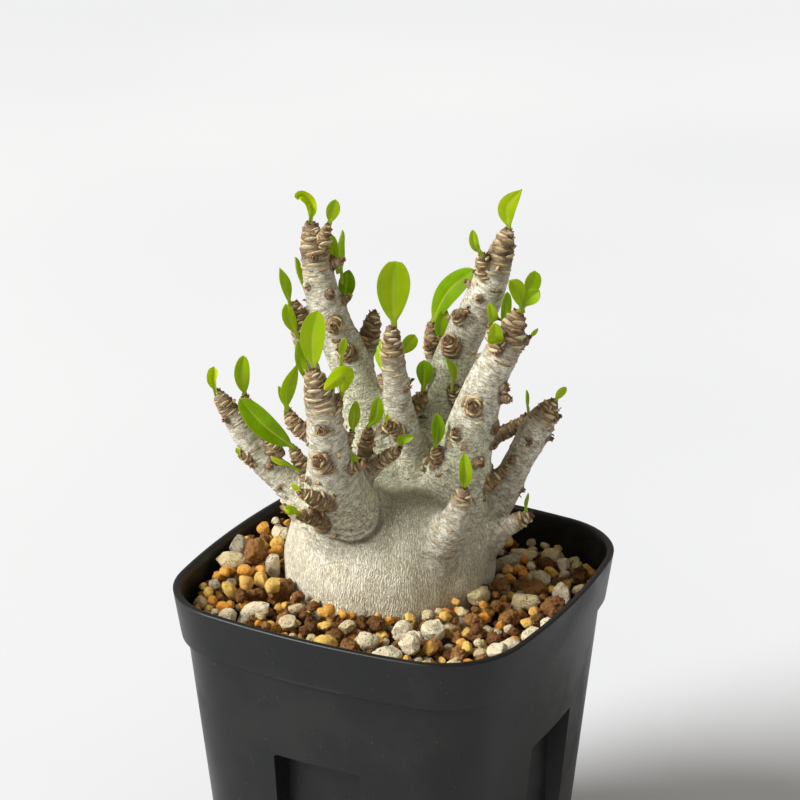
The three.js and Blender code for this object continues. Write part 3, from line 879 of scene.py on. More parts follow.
# How deep each point lies in a hollow of the skin (positive) or out on a bulge (negative); the bark darkens
# the hollows with painted shade and makes the bulges paler.
crease = ((softened(points, links, 6) - points) * normals_of(wood)).sum(axis=1)
hollow = softened(np.clip(crease, -0.4, 0.4), links, 2)
print("skin moved from", round(float(move.min()), 2), "to", round(float(move.max()), 2), "mm")

# %% Paint ages and marks on the skin
twig_brown = np.array([DARK_TWIGS.get(route.branch, 0) for route in routes])
stub_brown = np.array([STUB_BROWN if route.stub else 0 for route in routes])
brown = np.maximum(twig_brown, stub_brown)[limb] * (1 - on_stem)
brown *= 1 - smoothstep(to_tip, 14, 24)
tip_end = np.array([route.radius[-1] for route in routes])[limb]
crown = np.exp(-np.maximum(to_tip + 0.5, 0) / 0.8) * (1 - smoothstep(reach, 0.35 * tip_end, 0.8 * tip_end))
kept = np.array([BASES_REACH.get(route.branch, 14) for route in routes])[limb]
painted = {
    "shed": softened(smoothstep(to_tip / kept, 0.35, 0.95), links, 3),
    "age": softened(aged, links, 6), "brown": softened(brown, links, 5), "scar": scar, "pit": pit,
    "tip": crown * (1 - on_stem), "hollow": hollow, "scar_tone": scar_tone,
    "stem": softened(on_stem, links, 6), "fold": fold_shade,
}
for name, values in painted.items():
    paint(wood, name, values)
straight = np.column_stack([reach * np.cos(turn), reach * np.sin(turn), to_tip + 40 * limb])
attribute = wood.data.attributes.new("straightened", "FLOAT_VECTOR", "POINT")
attribute.data.foreach_set("vector", straight.astype(np.float32).ravel())
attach(wood, "root")
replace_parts(wood, "caudex", *BRANCHES)
print("painted:", ", ".join(painted))

# %% [markdown]
# ## Leaf bases at the tips
#
# Near each tip the old leaf bases are still there: pale half-moon cushions, stacked like tiles with dark
# cracks between them, and at the very end a crown of pointed brown scales. They are too sharp for the
# skin, so each is its own small shell bent round the branch, in the same golden spiral.
# %% Cushions and scales
class Place:
    """A spot on a limb: how far from the tip, and which way round."""

    def __init__(self, route, to_tip, angle):
        there = [np.interp(to_tip, route.to_tip[::-1], column[::-1]) for column in (
            *route.centre.T, route.radius, *route.along.T, *route.side.T)]
        self.centre, self.radius = np.array(there[:3]), there[3]
        self.along = unit(np.array(there[4:7]))
        side = np.array(there[7:10])
        self.side = unit(side - self.along * (side @ self.along))
        self.other = np.cross(self.along, self.side)
        self.angle = angle

    def out(self, turn):
        turn = turn + self.angle
        return np.multiply.outer(np.cos(turn), self.side) + np.multiply.outer(np.sin(turn), self.other)


skin_tree = BVHTree.FromObject(wood, bpy.context.evaluated_depsgraph_get())


def skin_radius(place):
    """How far the skin really is from the limb's centre line at that place."""
    out = place.out(0.0)
    start = place.centre + out * (place.radius + 2.5)
    hit = skin_tree.ray_cast(Vector(start * MM), Vector(-out), 5 * MM)[0]
    if hit is None:
        return place.radius
    return float((np.array(hit) / MM - place.centre) @ out)


def cushion(place, half_wide, half_tall, stand, tone):
    """A half-moon ledge: thin below, thickest at its upper edge, with painted shade low down and at both
    ends.
    """
    radius = max(skin_radius(place), 0.5)
    a = np.linspace(-0.97, 1, 9)
    a[-1] = 0.97
    b = np.array([-1, -0.45, 0.25, 0.8, 1.0])
    rise = np.array([-0.1, 0.45, 0.85, 1.0, 0.45])
    lens = (1 - np.abs(a) ** 2.2) ** 0.6
    droop = 0.3 * half_tall * (a - chance.normal(0, 0.3)) ** 2
    up = b[None, :] * (lens * half_tall)[:, None] - droop[:, None]
    height = rise[None, :] * (stand * lens ** 0.8)[:, None]
    up = np.concatenate([up, up[:, [-1, 0]]], axis=1)
    height = height + chance.normal(0, 0.045, height.shape)
    height = np.concatenate([height, np.full((len(a), 2), -0.4)], axis=1)
    # Painted shade: the lower rows and both ends of each cushion are darker.
    shade = tone + 0.2 * np.append(b, [1, -1])[None, :] - 0.35 * np.abs(a[:, None]) ** 3
    turn = a * half_wide / radius
    out = place.out(turn)
    points = place.centre + up[..., None] * place.along + (radius + height)[..., None] * out[:, None, :]
    columns = points.shape[1]
    faces = grid_faces(len(a), columns) + end_faces(len(a), columns)
    return points.reshape(-1, 3), faces, shade.ravel()


def bract(place, half_wide, length, lean, lift=0.0):
    """A pointed scale that stands on the limb and leans outwards."""
    radius = max(skin_radius(place), 0.4) * (1 - lift)
    rows = np.linspace(0, 1, 6)
    across = np.linspace(-1, 1, 4)
    half = half_wide * (1 - rows ** 1.6) + 0.05
    bend = lean * rows ** 1.5 * length
    out = place.out(0.0)
    round_ = np.cross(place.along, out)
    foot = place.centre + out * (radius - 0.15) + place.along * lift * 0.55 * radius
    shells = []
    for thick in (0.09, -0.09):
        cup = -0.35 * (across ** 2)[None, :] * half[:, None]
        shells.append(foot + (rows * length)[:, None, None] * place.along
                      + (across[None, :] * half[:, None])[..., None] * round_
                      + (bend[:, None] + cup + thick)[..., None] * out)
    points = np.concatenate([shells[0], shells[1][:, ::-1]], axis=1)
    columns = points.shape[1]
    faces = grid_faces(len(rows), columns) + end_faces(len(rows), columns)
    shade = np.repeat(chance.random() ** 1.6 + 0.3 * rows ** 3, columns)
    return points.reshape(-1, 3), faces, shade


chance = np.random.default_rng(17)
cushions, bracts = [], []
for route in routes:
    bud = route.stub and route.to_tip[0] < 4
    size = float(np.interp(route.radius[-1], [0.8, 2.2], [0.62, 1.0]))
    brown_share = max(DARK_TWIGS.get(route.branch, 0), 0.4 if route.stub else 0.0)
    at, angle = 0.3, chance.uniform(-math.pi, math.pi)
    longest = BASES_REACH.get(route.branch, 14)
    last = min(route.to_tip[0] - 2.0, longest)
    while at < last:
        worn, new = float(smoothstep(at, 0.3 * longest, longest)), float(1 - smoothstep(at, 0, 2))
        if chance.random() > 0.6 * worn:
            place = Place(route, at, angle)
            stand = (0.42 - 0.24 * worn - 0.12 * new) * size * chance.uniform(0.6, 1.3)
            wide = place.radius * chance.uniform(0.62, 1.0) * (1 - 0.3 * worn) * (0.62 if bud else 1)
            tall = (0.66 - 0.3 * worn - 0.15 * new) * size * chance.uniform(0.7, 1.2)
            tone = float(np.clip(chance.normal(0.68 - 0.45 * brown_share, 0.22), 0, 1))
            cushions.append(cushion(place, wide, tall, stand, tone))
        angle += GOLDEN + chance.normal(0, 0.5 if bud else 0.16)
        at += (0.40 + 0.022 * at) * size * chance.uniform(0.75, 1.3)
    thick = float(route.radius[-1])
    for number in range(int(chance.integers(11, 16)) if bud else int(chance.integers(13, 18))):
        inward = (number * 0.13) % 0.85
        place = Place(route, chance.uniform(0.0, 0.9 if bud else 0.4) * size, number * GOLDEN + angle)
        wide = thick * chance.uniform(0.3, 0.5) * (1 - 0.4 * inward)
        bracts.append(bract(place, wide, size * chance.uniform(0.6, 1.25), chance.uniform(-0.3, 0.7), inward))


def shells_piece(name, shapes):
    points, faces = joined_shapes([shape[:2] for shape in shapes])
    piece = mesh_piece(name, points * MM, faces, None)
    paint(piece, "tone", np.concatenate([shape[2] for shape in shapes]))
    piece.data.set_sharp_from_angle(angle=math.radians(50))
    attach(piece, "root")
    return piece


leaf_bases = shells_piece("leaf_bases", cushions)
bud_scales = shells_piece("bud_scales", bracts)
print("leaf bases:", len(cushions), "bud scales:", len(bracts))

# %% [markdown]
# ## Bark
#
# Young tips are tan and brown with old leaf bases. Further down the bark turns to a pale silvery cream
# with a breath of green, mottled, and on the stem it is covered with fine wavy wrinkles that run up and
# down. The painted marks say where each belongs, and stretched noise gives the wrinkles.
# %% Bark finish
finish = Finish("bark")
age, brown, stem = finish.painted("age"), finish.painted("brown"), finish.painted("stem")
scar, pit, scar_tone = finish.painted("scar"), finish.painted("pit"), finish.painted("scar_tone")
tip, hollow, folded = finish.painted("tip"), finish.painted("hollow"), finish.painted("fold")
straight = finish.node("ShaderNodeAttribute", {"attribute_name": "straightened"}, output=1)
mottle = finish.noise(0.16, detail=5, roughness=0.6)
blotch = finish.noise(0.55, detail=4, roughness=0.65)
speckle = finish.noise(2.6, detail=3, roughness=0.7)
stretch = finish.node("ShaderNodeVectorMath", {"operation": "MULTIPLY"}, {0: straight, 1: (0.35, 0.35, 1.5)})
rings = finish.noise(1.0, detail=4, roughness=0.65, distortion=0.4, where=stretch)
x, y, z = finish.split(finish.place())
about = x.math("ARCTAN2", y - CAUDEX_CENTRE[1], x - CAUDEX_CENTRE[0])
drift = finish.noise(0.22, detail=2, where=finish.place((1, 1, 0.7))) * 22
drift = drift + finish.noise(0.8, detail=2, where=finish.place((1, 1, 0.9))) * 13
wave = x.math("SINE", about * 236 + drift) * 0.5 + 0.5
broken = finish.noise(1.5, detail=2, where=finish.place((1, 1, 0.5))).between(0.4, 0.6)
wrinkle = wave * (broken * 0.75 + 0.25)
fine = finish.noise(2.4, detail=3, roughness=0.6, distortion=0.8, where=finish.place((1, 1, 0.45)))
worm = finish.noise(1.15, detail=2, distortion=1.1, where=finish.place((1, 1, 0.42))) - 0.5
worm = worm.math("ABSOLUTE", worm).between(0.055, 0.0) * age
knit = finish.noise(2.0, detail=1, distortion=1.6, where=finish.place((1, 1, 0.62))) - 0.5
knit = knit.math("ABSOLUTE", knit).between(0.11, 0.0) * (z * 0.12 - 11.5).clamped() * stem
band = finish.node("ShaderNodeVectorMath", {"operation": "MULTIPLY"}, {0: straight, 1: (0.28, 0.28, 0.95)})
band = finish.noise(1.0, detail=3, roughness=0.6, distortion=0.5, where=band) - 0.5
band = band.math("ABSOLUTE", band).between(0.05, 0.0) * (1 - stem)
fleck = finish.noise(1.25, detail=2, where=finish.place((1, 1, 1.7))).between(0.63, 0.69) * (1 - stem * 0.85)

cream = finish.mix((0.80, 0.75, 0.58), (0.94, 0.90, 0.76), mottle.between(0.35, 0.68))
green_grey = finish.mix((0.60, 0.63, 0.41), (0.84, 0.85, 0.63), blotch.between(0.3, 0.7))
shoulder = finish.mix(cream, green_grey, (z * 0.06 - 5.95 + mottle * 1.1 - 0.5).clamped() * 0.8)
old = finish.mix(shoulder, (0.30, 0.25, 0.15), wrinkle.between(0.45, 0.05) * stem * 0.42)
old = finish.mix(old, (0.27, 0.235, 0.14), fine.between(0.5, 0.3) * 0.42)
middle = finish.mix((0.50, 0.48, 0.36), (0.74, 0.71, 0.60), blotch.between(0.36, 0.62))
middle = finish.mix(middle, (0.20, 0.15, 0.08), rings.between(0.47, 0.3) * 0.65)
middle = finish.mix(middle, (0.26, 0.23, 0.14), fine.between(0.45, 0.25) * 0.4)
# Young bark under the leaf bases: its own tan and brown, kept dark so that it also stands in for the shade in
# the cracks between the bases, a painted shade.
young = finish.mix((0.085, 0.047, 0.022), (0.34, 0.25, 0.145), rings.between(0.38, 0.66))
colour = finish.mix(middle, old, age.between(0.45, 0.95))
colour = finish.mix(colour, (0.17, 0.15, 0.09), worm * 0.4)
colour = finish.mix(colour, (0.27, 0.27, 0.16), knit * 0.55)
colour = finish.mix(colour, (0.19, 0.14, 0.08), band * 0.5)
colour = finish.mix(colour, (0.17, 0.09, 0.045), fleck * 0.75)
shed = (finish.painted("shed") + (blotch - 0.5) * 0.5).clamped()
colour = finish.mix(young, colour, shed)
dark = finish.mix((0.09, 0.045, 0.02), (0.30, 0.20, 0.11), rings.between(0.35, 0.62))
colour = finish.mix(colour, dark, brown)
lens = finish.mix((0.20, 0.09, 0.035), (0.56, 0.42, 0.24), scar_tone)
colour = finish.mix(colour, lens, (scar * 0.9).clamped() * (1.1 - age * 0.8) * (shed * 0.75 + 0.25))
colour = finish.mix(colour, (0.04, 0.02, 0.012), pit.between(0.4, 0.85) * 0.8)
# Painted shade in the skin's hollows, and paler bulges.
colour = finish.mix(colour, (0.075, 0.04, 0.02), hollow.between(0.02, 0.16) * (1.0 - age * 0.62))
colour = finish.mix(colour, (0.68, 0.61, 0.47), hollow.between(-0.02, -0.13) * shed * 0.45)
colour = finish.mix(colour, (0.06, 0.03, 0.014), tip.between(0.2, 0.6) * 0.75)
colour = finish.mix(colour, (0.24, 0.34, 0.02), tip.between(0.45, 0.7) * blotch.between(0.58, 0.62) * 0.8)
colour = finish.mix(colour, (0.10, 0.06, 0.035), speckle.between(0.68, 0.76) * 0.55)
# Painted shade in the crease and in the troughs of the fold.
colour = finish.mix(colour, (0.24, 0.20, 0.13), folded * 0.5)
rough = (0.6 + speckle * 0.2 + brown * 0.1).clamped()
relief = finish.bump(wrinkle * stem * 0.6 + fine * (age * 0.7 + 0.15) - knit * 0.65, 0.3, strength=0.9)
relief = finish.bump(rings * (1 - stem) - band * 0.35 - worm * 0.3, 0.34, relief, strength=0.9)
relief = finish.bump(speckle, 0.06, relief)
bark = finish.surface({
    "Base Color": colour, "Roughness": rough, "Normal": relief, "Specular IOR Level": 0.35,
})
wood.data.materials.clear()
wood.data.materials.append(bark)
print("bark nodes:", len(finish.tree.nodes))

# %% Leaf base and scale finishes
finish = Finish("leaf_base")
tone = finish.painted("tone")
stain = finish.noise(1.1, detail=4, roughness=0.65)
grain = finish.noise(3.5, detail=3, roughness=0.7, where=finish.place((1, 1, 2)))
# The painted tone carries each cushion's painted shade as well as its own colour.
colour = finish.ramp(
    (tone + stain * 1.3 - 0.65).clamped(),
    (0.0, (0.10, 0.048, 0.02)), (0.3, (0.32, 0.18, 0.075)),
    (0.6, (0.55, 0.39, 0.20)), (1.0, (0.78, 0.68, 0.46)),
)
colour = finish.mix(colour, (0.12, 0.06, 0.025), grain.between(0.48, 0.3) * 0.6)
colour = finish.mix(colour, (0.38, 0.42, 0.12), stain.between(0.5, 0.62) * 0.55)
relief = finish.bump(grain + stain, 0.22)
leaf_bases.data.materials.append(finish.surface({"Base Color": colour, "Roughness": 0.75, "Normal": relief,
                                                 "Specular IOR Level": 0.3}))
finish = Finish("bud_scale")
tone = finish.painted("tone")
stain = finish.noise(1.6, detail=3)
colour = finish.ramp(
    (tone * 0.8 + stain * 0.6 - 0.3).clamped(),
    (0.0, (0.045, 0.018, 0.009)), (0.45, (0.20, 0.085, 0.035)),
    (0.8, (0.46, 0.27, 0.10)), (1.0, (0.56, 0.46, 0.20)),
)
bud_scales.data.materials.append(finish.surface({
    "Base Color": colour, "Roughness": 0.7, "Normal": finish.bump(stain, 0.15), "Specular IOR Level": 0.35,
}))

# %% [markdown]
# ## Leaves
#
# The rainy season has just woken the plant, so its leaves are few and small: fleshy blades on short
# stalks, folded a little along a pale midrib. A plane with a texture would have no edge, so each leaf is
# a thin closed shell bent along its own curve. Each row is [base, middle, tip, half width, roll].
# %% Leaf table
LEAVES = {
    "leaf_tall_left_tip": [[-23, 2, 171], [-22, 1, 173], [-24, -3, 176], 1.25, 10],
    "leaf_tall_left_twig": [[-17.6, 1.2, 170.6], [-17, 1.5, 173.4], [-16.4, 1.8, 175.8], 1.55, 5],
    "leaf_tall_left_behind": [[-18, 7, 157], [-20, 10, 162], [-19, 10, 166], 1.6, 60],
    "leaf_tall_left_side": [[-17.8, 8.1, 149.7], [-17.3, 8.4, 153.3], [-16.8, 8.6, 157.2], 2.0, -12],
    "leaf_thin_left_upper": [[-26, -3, 151], [-27, -3, 155], [-29, -2, 159], 1.5, 45],
    "leaf_thin_left_lower": [[-24.2, -3.6, 144.7], [-25.5, -4.3, 148.1], [-26.1, -4.6, 151.5], 1.55, 15],
    "leaf_front_left_tip": [[-7.7, -24.8, 146.2], [-7.8, -24.9, 152.6], [-6.8, -24.4, 158.9], 2.75, -10],
    "leaf_front_left_back": [[-11, -22, 141], [-14, -20, 145], [-15, -19, 149], 1.4, 40],
    "leaf_front_left_shoot": [[-16, -23, 134], [-15, -24, 140], [-13, -23, 145], 1.8, 25],
    "leaf_front_left_folded": [[-3, -21, 139], [-1, -23, 144.6], [-4, -27, 142], 1.9, 0],
    "leaf_front_left_right": [[-3, -16, 129], [-2, -17, 133], [-2, -16, 136], 1.3, 10],
    "leaf_front_low_yellow": [[-12, -26, 111], [-12.8, -27.2, 112.2], [-14, -28, 112.4], 1.2, 0],
    "leaf_left_twig": [[-35, -9, 130], [-35, -10, 135], [-35, -9, 139], 1.8, 10],
    "leaf_left_tip": [[-41.1, -12, 131], [-41.6, -12.3, 133.4], [-41.2, -12, 136.2], 1.2, 0],
    "leaf_left_long": [[-23, -9, 119], [-28, -12, 124], [-34, -13, 130], 2.8, 15],
    "leaf_left_small": [[-22, -11, 115], [-23, -12, 116], [-26, -13, 117], 1.1, -40],
    "leaf_middle_tip": [[-2.5, 3.3, 148.5], [-2.7, 3.3, 156], [-2.2, 3.6, 163.3], 3.8, 5],
    "leaf_middle_behind": [[-2.8, 8.3, 139.4], [-1.2, 8.9, 142.1], [-0.2, 9.4, 143.8], 1.7, 0],
    "leaf_middle_shoot": [[-0.8, 15.1, 129.2], [-0.5, 15.2, 132.2], [-0.7, 15.1, 135.7], 2.0, 0],
    "leaf_middle_curled": [[6, -10, 125], [7, -11, 127], [10, -11, 128], 1.1, 0],
    "leaf_middle_dark": [[-2, -10, 128], [0, -10, 131], [0, -9, 135], 1.5, -15],
    "leaf_middle_low": [[7.9, 4, 120.3], [8.3, 4.2, 124.2], [8.1, 4.1, 127.9], 1.6, 5],
    "leaf_back_large": [[-8.5, 36, 138], [-5.3, 37, 145], [1, 38, 151.5], 3.0, -35],
    "leaf_back_small": [[-6, 35, 133], [-6, 35, 137], [-6, 37, 141], 1.7, 10],
    "leaf_back_left": [[-20, 32, 124], [-22, 34, 128], [-25, 36, 131], 2, 160],
    "leaf_back_low": [[-20, 39, 109], [-22, 41, 112], [-23, 42, 116], 2, 180],
    "leaf_tall_right_tip": [[16.3, 24.2, 167.8], [15.9, 24, 172.6], [18.8, 25.4, 176.8], 2.1, -15],
    "leaf_tall_right_shoot": [[12, 18, 163], [11, 17, 165], [10, 18, 168], 1.1, 10],
    "leaf_tall_right_front": [[7, 14, 131], [7, 14, 134], [6, 13, 138], 1.4, 55],
    "leaf_right_tip_left": [[23.9, 14.4, 153], [23.3, 13, 157.1], [22.2, 11.9, 159.6], 1.9, 25],
    "leaf_right_tip_back": [[23.9, 16.7, 153.3], [24.8, 18.3, 157.2], [25.4, 18.6, 160.3], 1.9, 10],
    "leaf_right_tip_side": [[24.7, 14.8, 153.2], [26.3, 15.1, 155.2], [28, 15.3, 157], 1.7, -20],
    "leaf_right_shoot": [[19, 9, 150], [20, 8, 152], [19, 8, 155], 1.1, 10],
    "leaf_right_round": [[20.8, 8.6, 148.3], [22, 5, 149.4], [22, 4.7, 151.4], 1.75, 0],
    "leaf_right_dark": [[18, 18, 146], [17.5, 20.4, 150], [17.6, 21, 153.4], 1.3, 20],
    "leaf_right_low_tip": [[28.8, 24.9, 128], [29.6, 25.3, 129.5], [30.7, 25.9, 130.7], 0.95, 0],
    "leaf_front_tip": [[19, -4, 115], [20, -5, 119], [19, -4, 123], 1.5, -10],
}

# %% What is special about some leaves
# Roundness lowers the outline's exponent, wide moves its widest place towards the tip, fold and cup bend it
# across, tone goes from yellow (0) to deep green (1), and path replaces its middle and tip.
LEAF_STYLES = {
    "leaf_tall_left_tip": {
        "fold": 1.3, "tone": 0.1, "sharp": 0.35,
        "path": [[-22.8, 2, 173], [-23.3, 1.7, 175], [-24.9, 1, 176.1], [-25.6, 0.5, 175]],
    },
    "leaf_tall_left_twig": {"fold": 0.4, "tone": 0.5, "sharp": 0.5, "wide": 1.3},
    "leaf_tall_left_side": {"fold": 0.35, "cup": -0.25, "tone": 0.9},
    "leaf_tall_left_behind": {"sharp": 0.8, "tone": 0.35},
    "leaf_thin_left_upper": {"sharp": 0.95, "tone": 0.55},
    "leaf_front_left_tip": {"wide": 1.3, "fold": 0.15, "cup": 0.15, "tone": 0.45, "sharp": 0.45},
    "leaf_front_left_shoot": {"sharp": 0.8, "fold": 0.5, "tone": 0.4},
    "leaf_front_left_folded": {"fold": -0.75, "cup": 0.2, "tone": 0.2},
    "leaf_front_low_yellow": {"fold": 0.8, "tone": 0.05},
    "leaf_left_tip": {"fold": 0.8, "cup": 0.4, "tone": 0.0, "sharp": 0.2, "wide": 2.2},
    "leaf_left_long": {"fold": 0.3, "tone": 0.85, "wide": 1.15, "sharp": 0.5},
    "leaf_left_small": {"fold": 0.6, "tone": 0.3},
    "leaf_middle_tip": {"fold": 0.12, "cup": 0.05, "tone": 0.35, "wide": 1.35, "sharp": 0.5, "notch": 0.5},
    "leaf_middle_shoot": {"fold": 0.3, "tone": 0.75, "wide": 1.45, "sharp": 0.45},
    "leaf_middle_dark": {"fold": 0.4, "tone": 0.7, "wide": 1.3},
    "leaf_middle_low": {"fold": 0.7, "tone": 0.8},
    "leaf_middle_curled": {"fold": 0.6, "cup": 0.3, "tone": 0.45},
    "leaf_back_large": {"tone": 0.8, "fold": 0.15, "sharp": 0.5},
    "leaf_back_small": {"tone": 0.6, "sharp": 0.5},
    "leaf_tall_right_tip": {"sharp": 0.95, "fold": 0.2, "tone": 0.35, "wide": 0.95},
    "leaf_tall_right_front": {"fold": 0.5, "sharp": 0.9, "tone": 0.4},
    "leaf_right_tip_left": {"fold": 0.6, "tone": 0.45, "sharp": 0.42, "wide": 1.7},
    "leaf_right_tip_side": {"fold": 0.5, "tone": 0.55, "sharp": 0.42, "wide": 1.6},
    "leaf_right_round": {
        "sharp": 0.4, "tone": 0.45, "wide": 1.0,
        "path": [[21.5, 6.4, 147.4], [22, 5.2, 148.4], [22.1, 4.9, 150], [22, 4.8, 151.6]],
    },
    "leaf_right_tip_back": {"fold": 0.3, "tone": 0.5, "sharp": 0.42, "wide": 1.5},
    "leaf_thin_left_lower": {"fold": 0.35, "tone": 0.45, "sharp": 0.48, "wide": 1.25},
    "leaf_middle_behind": {"fold": 0.3, "tone": 0.5, "sharp": 0.42, "wide": 1.4},
    "leaf_left_twig": {"fold": 0.35, "tone": 0.45, "sharp": 0.48, "wide": 1.25},
    "leaf_right_low_tip": {"fold": 0.4, "tone": 0.1, "sharp": 0.42},
    "leaf_right_dark": {"tone": 0.75, "sharp": 0.45},
    "leaf_front_tip": {"fold": 0.6, "tone": 0.55},
}
# Small new leaves that the CAD model leaves out: [base, tip, half width, roll, tone]
SMALL_LEAVES = [
    ([[-18.6, 5.7, 159], [-19.6, 5.7, 162.5], [-19.4, 5.7, 166]], 1.4, 20, 0.3),
    ([[-25.8, 3.1, 153.5], [-27.2, 3, 157], [-27.5, 2.8, 160.4]], 1.1, 60, 0.5),
    ([[-16, -21.8, 133.6], [-17.3, -22.2, 136.2], [-18, -22.6, 139]], 0.8, 30, 0.5),
    ([[-11.6, -4.8, 141.4], [-11.4, -4.8, 143.6], [-10.8, -4.6, 145.9]], 0.95, 10, 0.35),
    ([[25.2, 17.2, 145], [26, 17.4, 146], [26.8, 17.8, 147]], 0.5, 0, 0.2),
    ([[20.1, 28.1, 122.8], [19.9, 28, 125], [19.9, 28, 127.4]], 0.55, 50, 0.7),
    ([[26.2, 14.4, 103.4], [26.2, 14.3, 105.5], [26.7, 14.6, 107.6]], 0.5, 20, 0.75),
    ([[-11, -26, 116.4], [-11.9, -26.4, 117.3], [-12.8, -26.8, 118]], 0.7, 0, 0.05),
    ([[-1.5, -17.8, 121.9], [-1.5, -17.9, 123], [-1.6, -17.8, 124]], 0.9, 0, 0.45),
    ([[-1.1, -3.2, 127], [-0.8, -3.4, 128], [-0.6, -3.6, 128.9]], 0.5, 0, 0.1),
    ([[-35.4, -11.3, 115.4], [-35.6, -11.5, 116.2], [-35.9, -11.8, 117]], 0.6, 0, 0.05),
    ([[11.7, 19.2, 161.6], [11.4, 19.1, 162.5], [11, 19, 163.4]], 0.45, 0, 0.1),
    ([[15.2, 20.6, 157.6], [15.3, 20.2, 158.4], [15.5, 20, 159.3]], 0.6, 20, 0.1),
]
print("leaves:", len(LEAVES), "and", len(SMALL_LEAVES), "small new ones")


# %% One leaf as a thin shell
LEAF_ROWS = 30
LEAF_COLUMNS = 15
LEAF_THICKNESS = 0.42


def smooth_path(knots, count):
    knots = np.array(knots, float)
    dense = through(np.vstack([2 * knots[0] - knots[1], knots, 2 * knots[-1] - knots[-2]]), 16)
    reach = np.concatenate([[0], np.cumsum(np.linalg.norm(np.diff(dense, axis=0), axis=1))])
    even = np.linspace(0, reach[-1], count)
    return np.column_stack([np.interp(even, reach, dense[:, i]) for i in range(3)]), reach[-1]


def turned_about(vectors, axes, angle):
    dot = (vectors * axes).sum(axis=1, keepdims=True)
    sideways = np.cross(axes, vectors)
    return vectors * math.cos(angle) + sideways * math.sin(angle) + axes * dot * (1 - math.cos(angle))


def leaf_shell(path, half_width, roll, stalk, sharp=0.6, wide=1.15, fold=0.28, cup=0.0, notch=0.0):
    """Points, faces and painted numbers of one blade; stalk is the length of its petiole."""
    spine, length = smooth_path(path, LEAF_ROWS)
    along = unit(np.gradient(spine, axis=0))
    facing = turned_about(np.tile(FRONT, (LEAF_ROWS, 1)), along, math.radians(roll))
    across = unit(np.cross(facing, along))
    face = np.cross(along, across)
    t = np.linspace(0, 1, LEAF_ROWS)
    bare = min(stalk / length, 0.45)
    u = np.clip((t - bare) / (1 - bare), 0, 1)
    blade = np.sin(math.pi * u ** wide) ** sharp * half_width
    stem = (0.36 + 0.1 * half_width) * (1 - smoothstep(u, 0.05, 0.35))
    half = np.maximum(np.maximum(blade, stem), 0.06)
    v = np.sin(np.linspace(-1, 1, LEAF_COLUMNS) * math.pi / 2)
    flat = smoothstep(u, 0.0, 0.3)
    lift = fold * np.abs(v)[None, :] * half[:, None] + cup * (v ** 2)[None, :] * half[:, None]
    side = v[None, :] * half[:, None]
    keel = np.exp(-(side / 0.3) ** 2)
    thick = LEAF_THICKNESS * (0.30 + 0.70 * (1 - v ** 2)[None, :]) * (0.6 + 0.4 * flat)[:, None]
    round_stalk = 0.55 * np.sqrt(1 - 0.98 * v ** 2)[None, :]
    thick = np.where(flat[:, None] < 0.5, np.maximum(thick, round_stalk), thick)
    upper = lift + thick / 2 - 0.10 * keel * flat[:, None]
    lower = lift - thick / 2 - 0.16 * keel * flat[:, None]
    sides = np.concatenate([side, side[:, ::-1]], axis=1)
    heights = np.concatenate([upper, lower[:, ::-1]], axis=1)
    rings = spine[:, None, :] + sides[..., None] * across[:, None, :] + heights[..., None] * face[:, None, :]
    dent = smoothstep(t, 0.75, 1.0)[:, None] * np.exp(-(sides / 0.8) ** 2)
    rings = rings - notch * (dent[..., None] * along[:, None, :])
    columns = rings.shape[1]
    faces = grid_faces(LEAF_ROWS, columns) + end_faces(LEAF_ROWS, columns)
    rib = np.abs(sides).ravel()
    vein = np.abs(np.sin((np.repeat(t * length, columns) - 0.55 * rib) * math.pi / 1.15))
    edge = np.abs(np.tile(np.concatenate([v, v[::-1]]), (LEAF_ROWS, 1))).ravel()
    painted = {"rib": rib, "edge": edge, "vein": vein, "reach": np.repeat(u, columns)}
    return rings.reshape(-1, 3), faces, painted

# %% [markdown]
# ## Leaf green
#
# A young leaf is bright because light goes through it, so a share of the surface is a Translucent
# shader. The blade is a waxy yellow-green with a paler midrib and side veins and a thin pale edge; older
# leaves are deeper green. The wax gives small sharp highlights.
# %% Leaf finish
finish = Finish("leaf_green")
rib, edge = finish.painted("rib"), finish.painted("edge")
reach, tone = finish.painted("reach"), finish.painted("tone")
vein = finish.painted("vein").between(0.35, 0.05) * rib.between(0.2, 0.6)
patch = finish.noise(0.35, detail=3)
fine = finish.noise(3.0, detail=2)
yellow = finish.mix((0.68, 0.76, 0.001), (0.50, 0.67, 0.001), patch.between(0.35, 0.65))
green = finish.mix((0.12, 0.29, 0.001), (0.20, 0.41, 0.001), patch.between(0.35, 0.65))
blade = finish.mix(yellow, green, tone)
midrib = rib.between(0.34, 0.08) * reach.between(1.02, 0.5)
blade = finish.mix(blade, (0.56, 0.66, 0.10), midrib * 0.7)
blade = finish.mix(blade, (0.52, 0.66, 0.05), vein * 0.3)
blade = finish.mix(blade, (0.50, 0.62, 0.06), edge.between(0.9, 1.0) * 0.5)
blade = finish.mix(blade, (0.42, 0.50, 0.06), reach.between(0.16, 0.0) * 0.7)
blade = finish.mix(blade, (0.30, 0.16, 0.04), reach.between(0.94, 1.0) * fine.between(0.5, 0.7) * 0.5)
relief = finish.bump(fine * 0.3 + patch - vein * 0.25, 0.16, strength=0.6)
leaf_green = finish.surface(
    {"Base Color": blade, "Roughness": 0.33, "Normal": relief, "Specular IOR Level": 0.22},
    through=(finish.mix(blade, (0.56, 0.72, 0.001), 0.5), 0.5),
)
print("leaf nodes:", len(finish.tree.nodes))


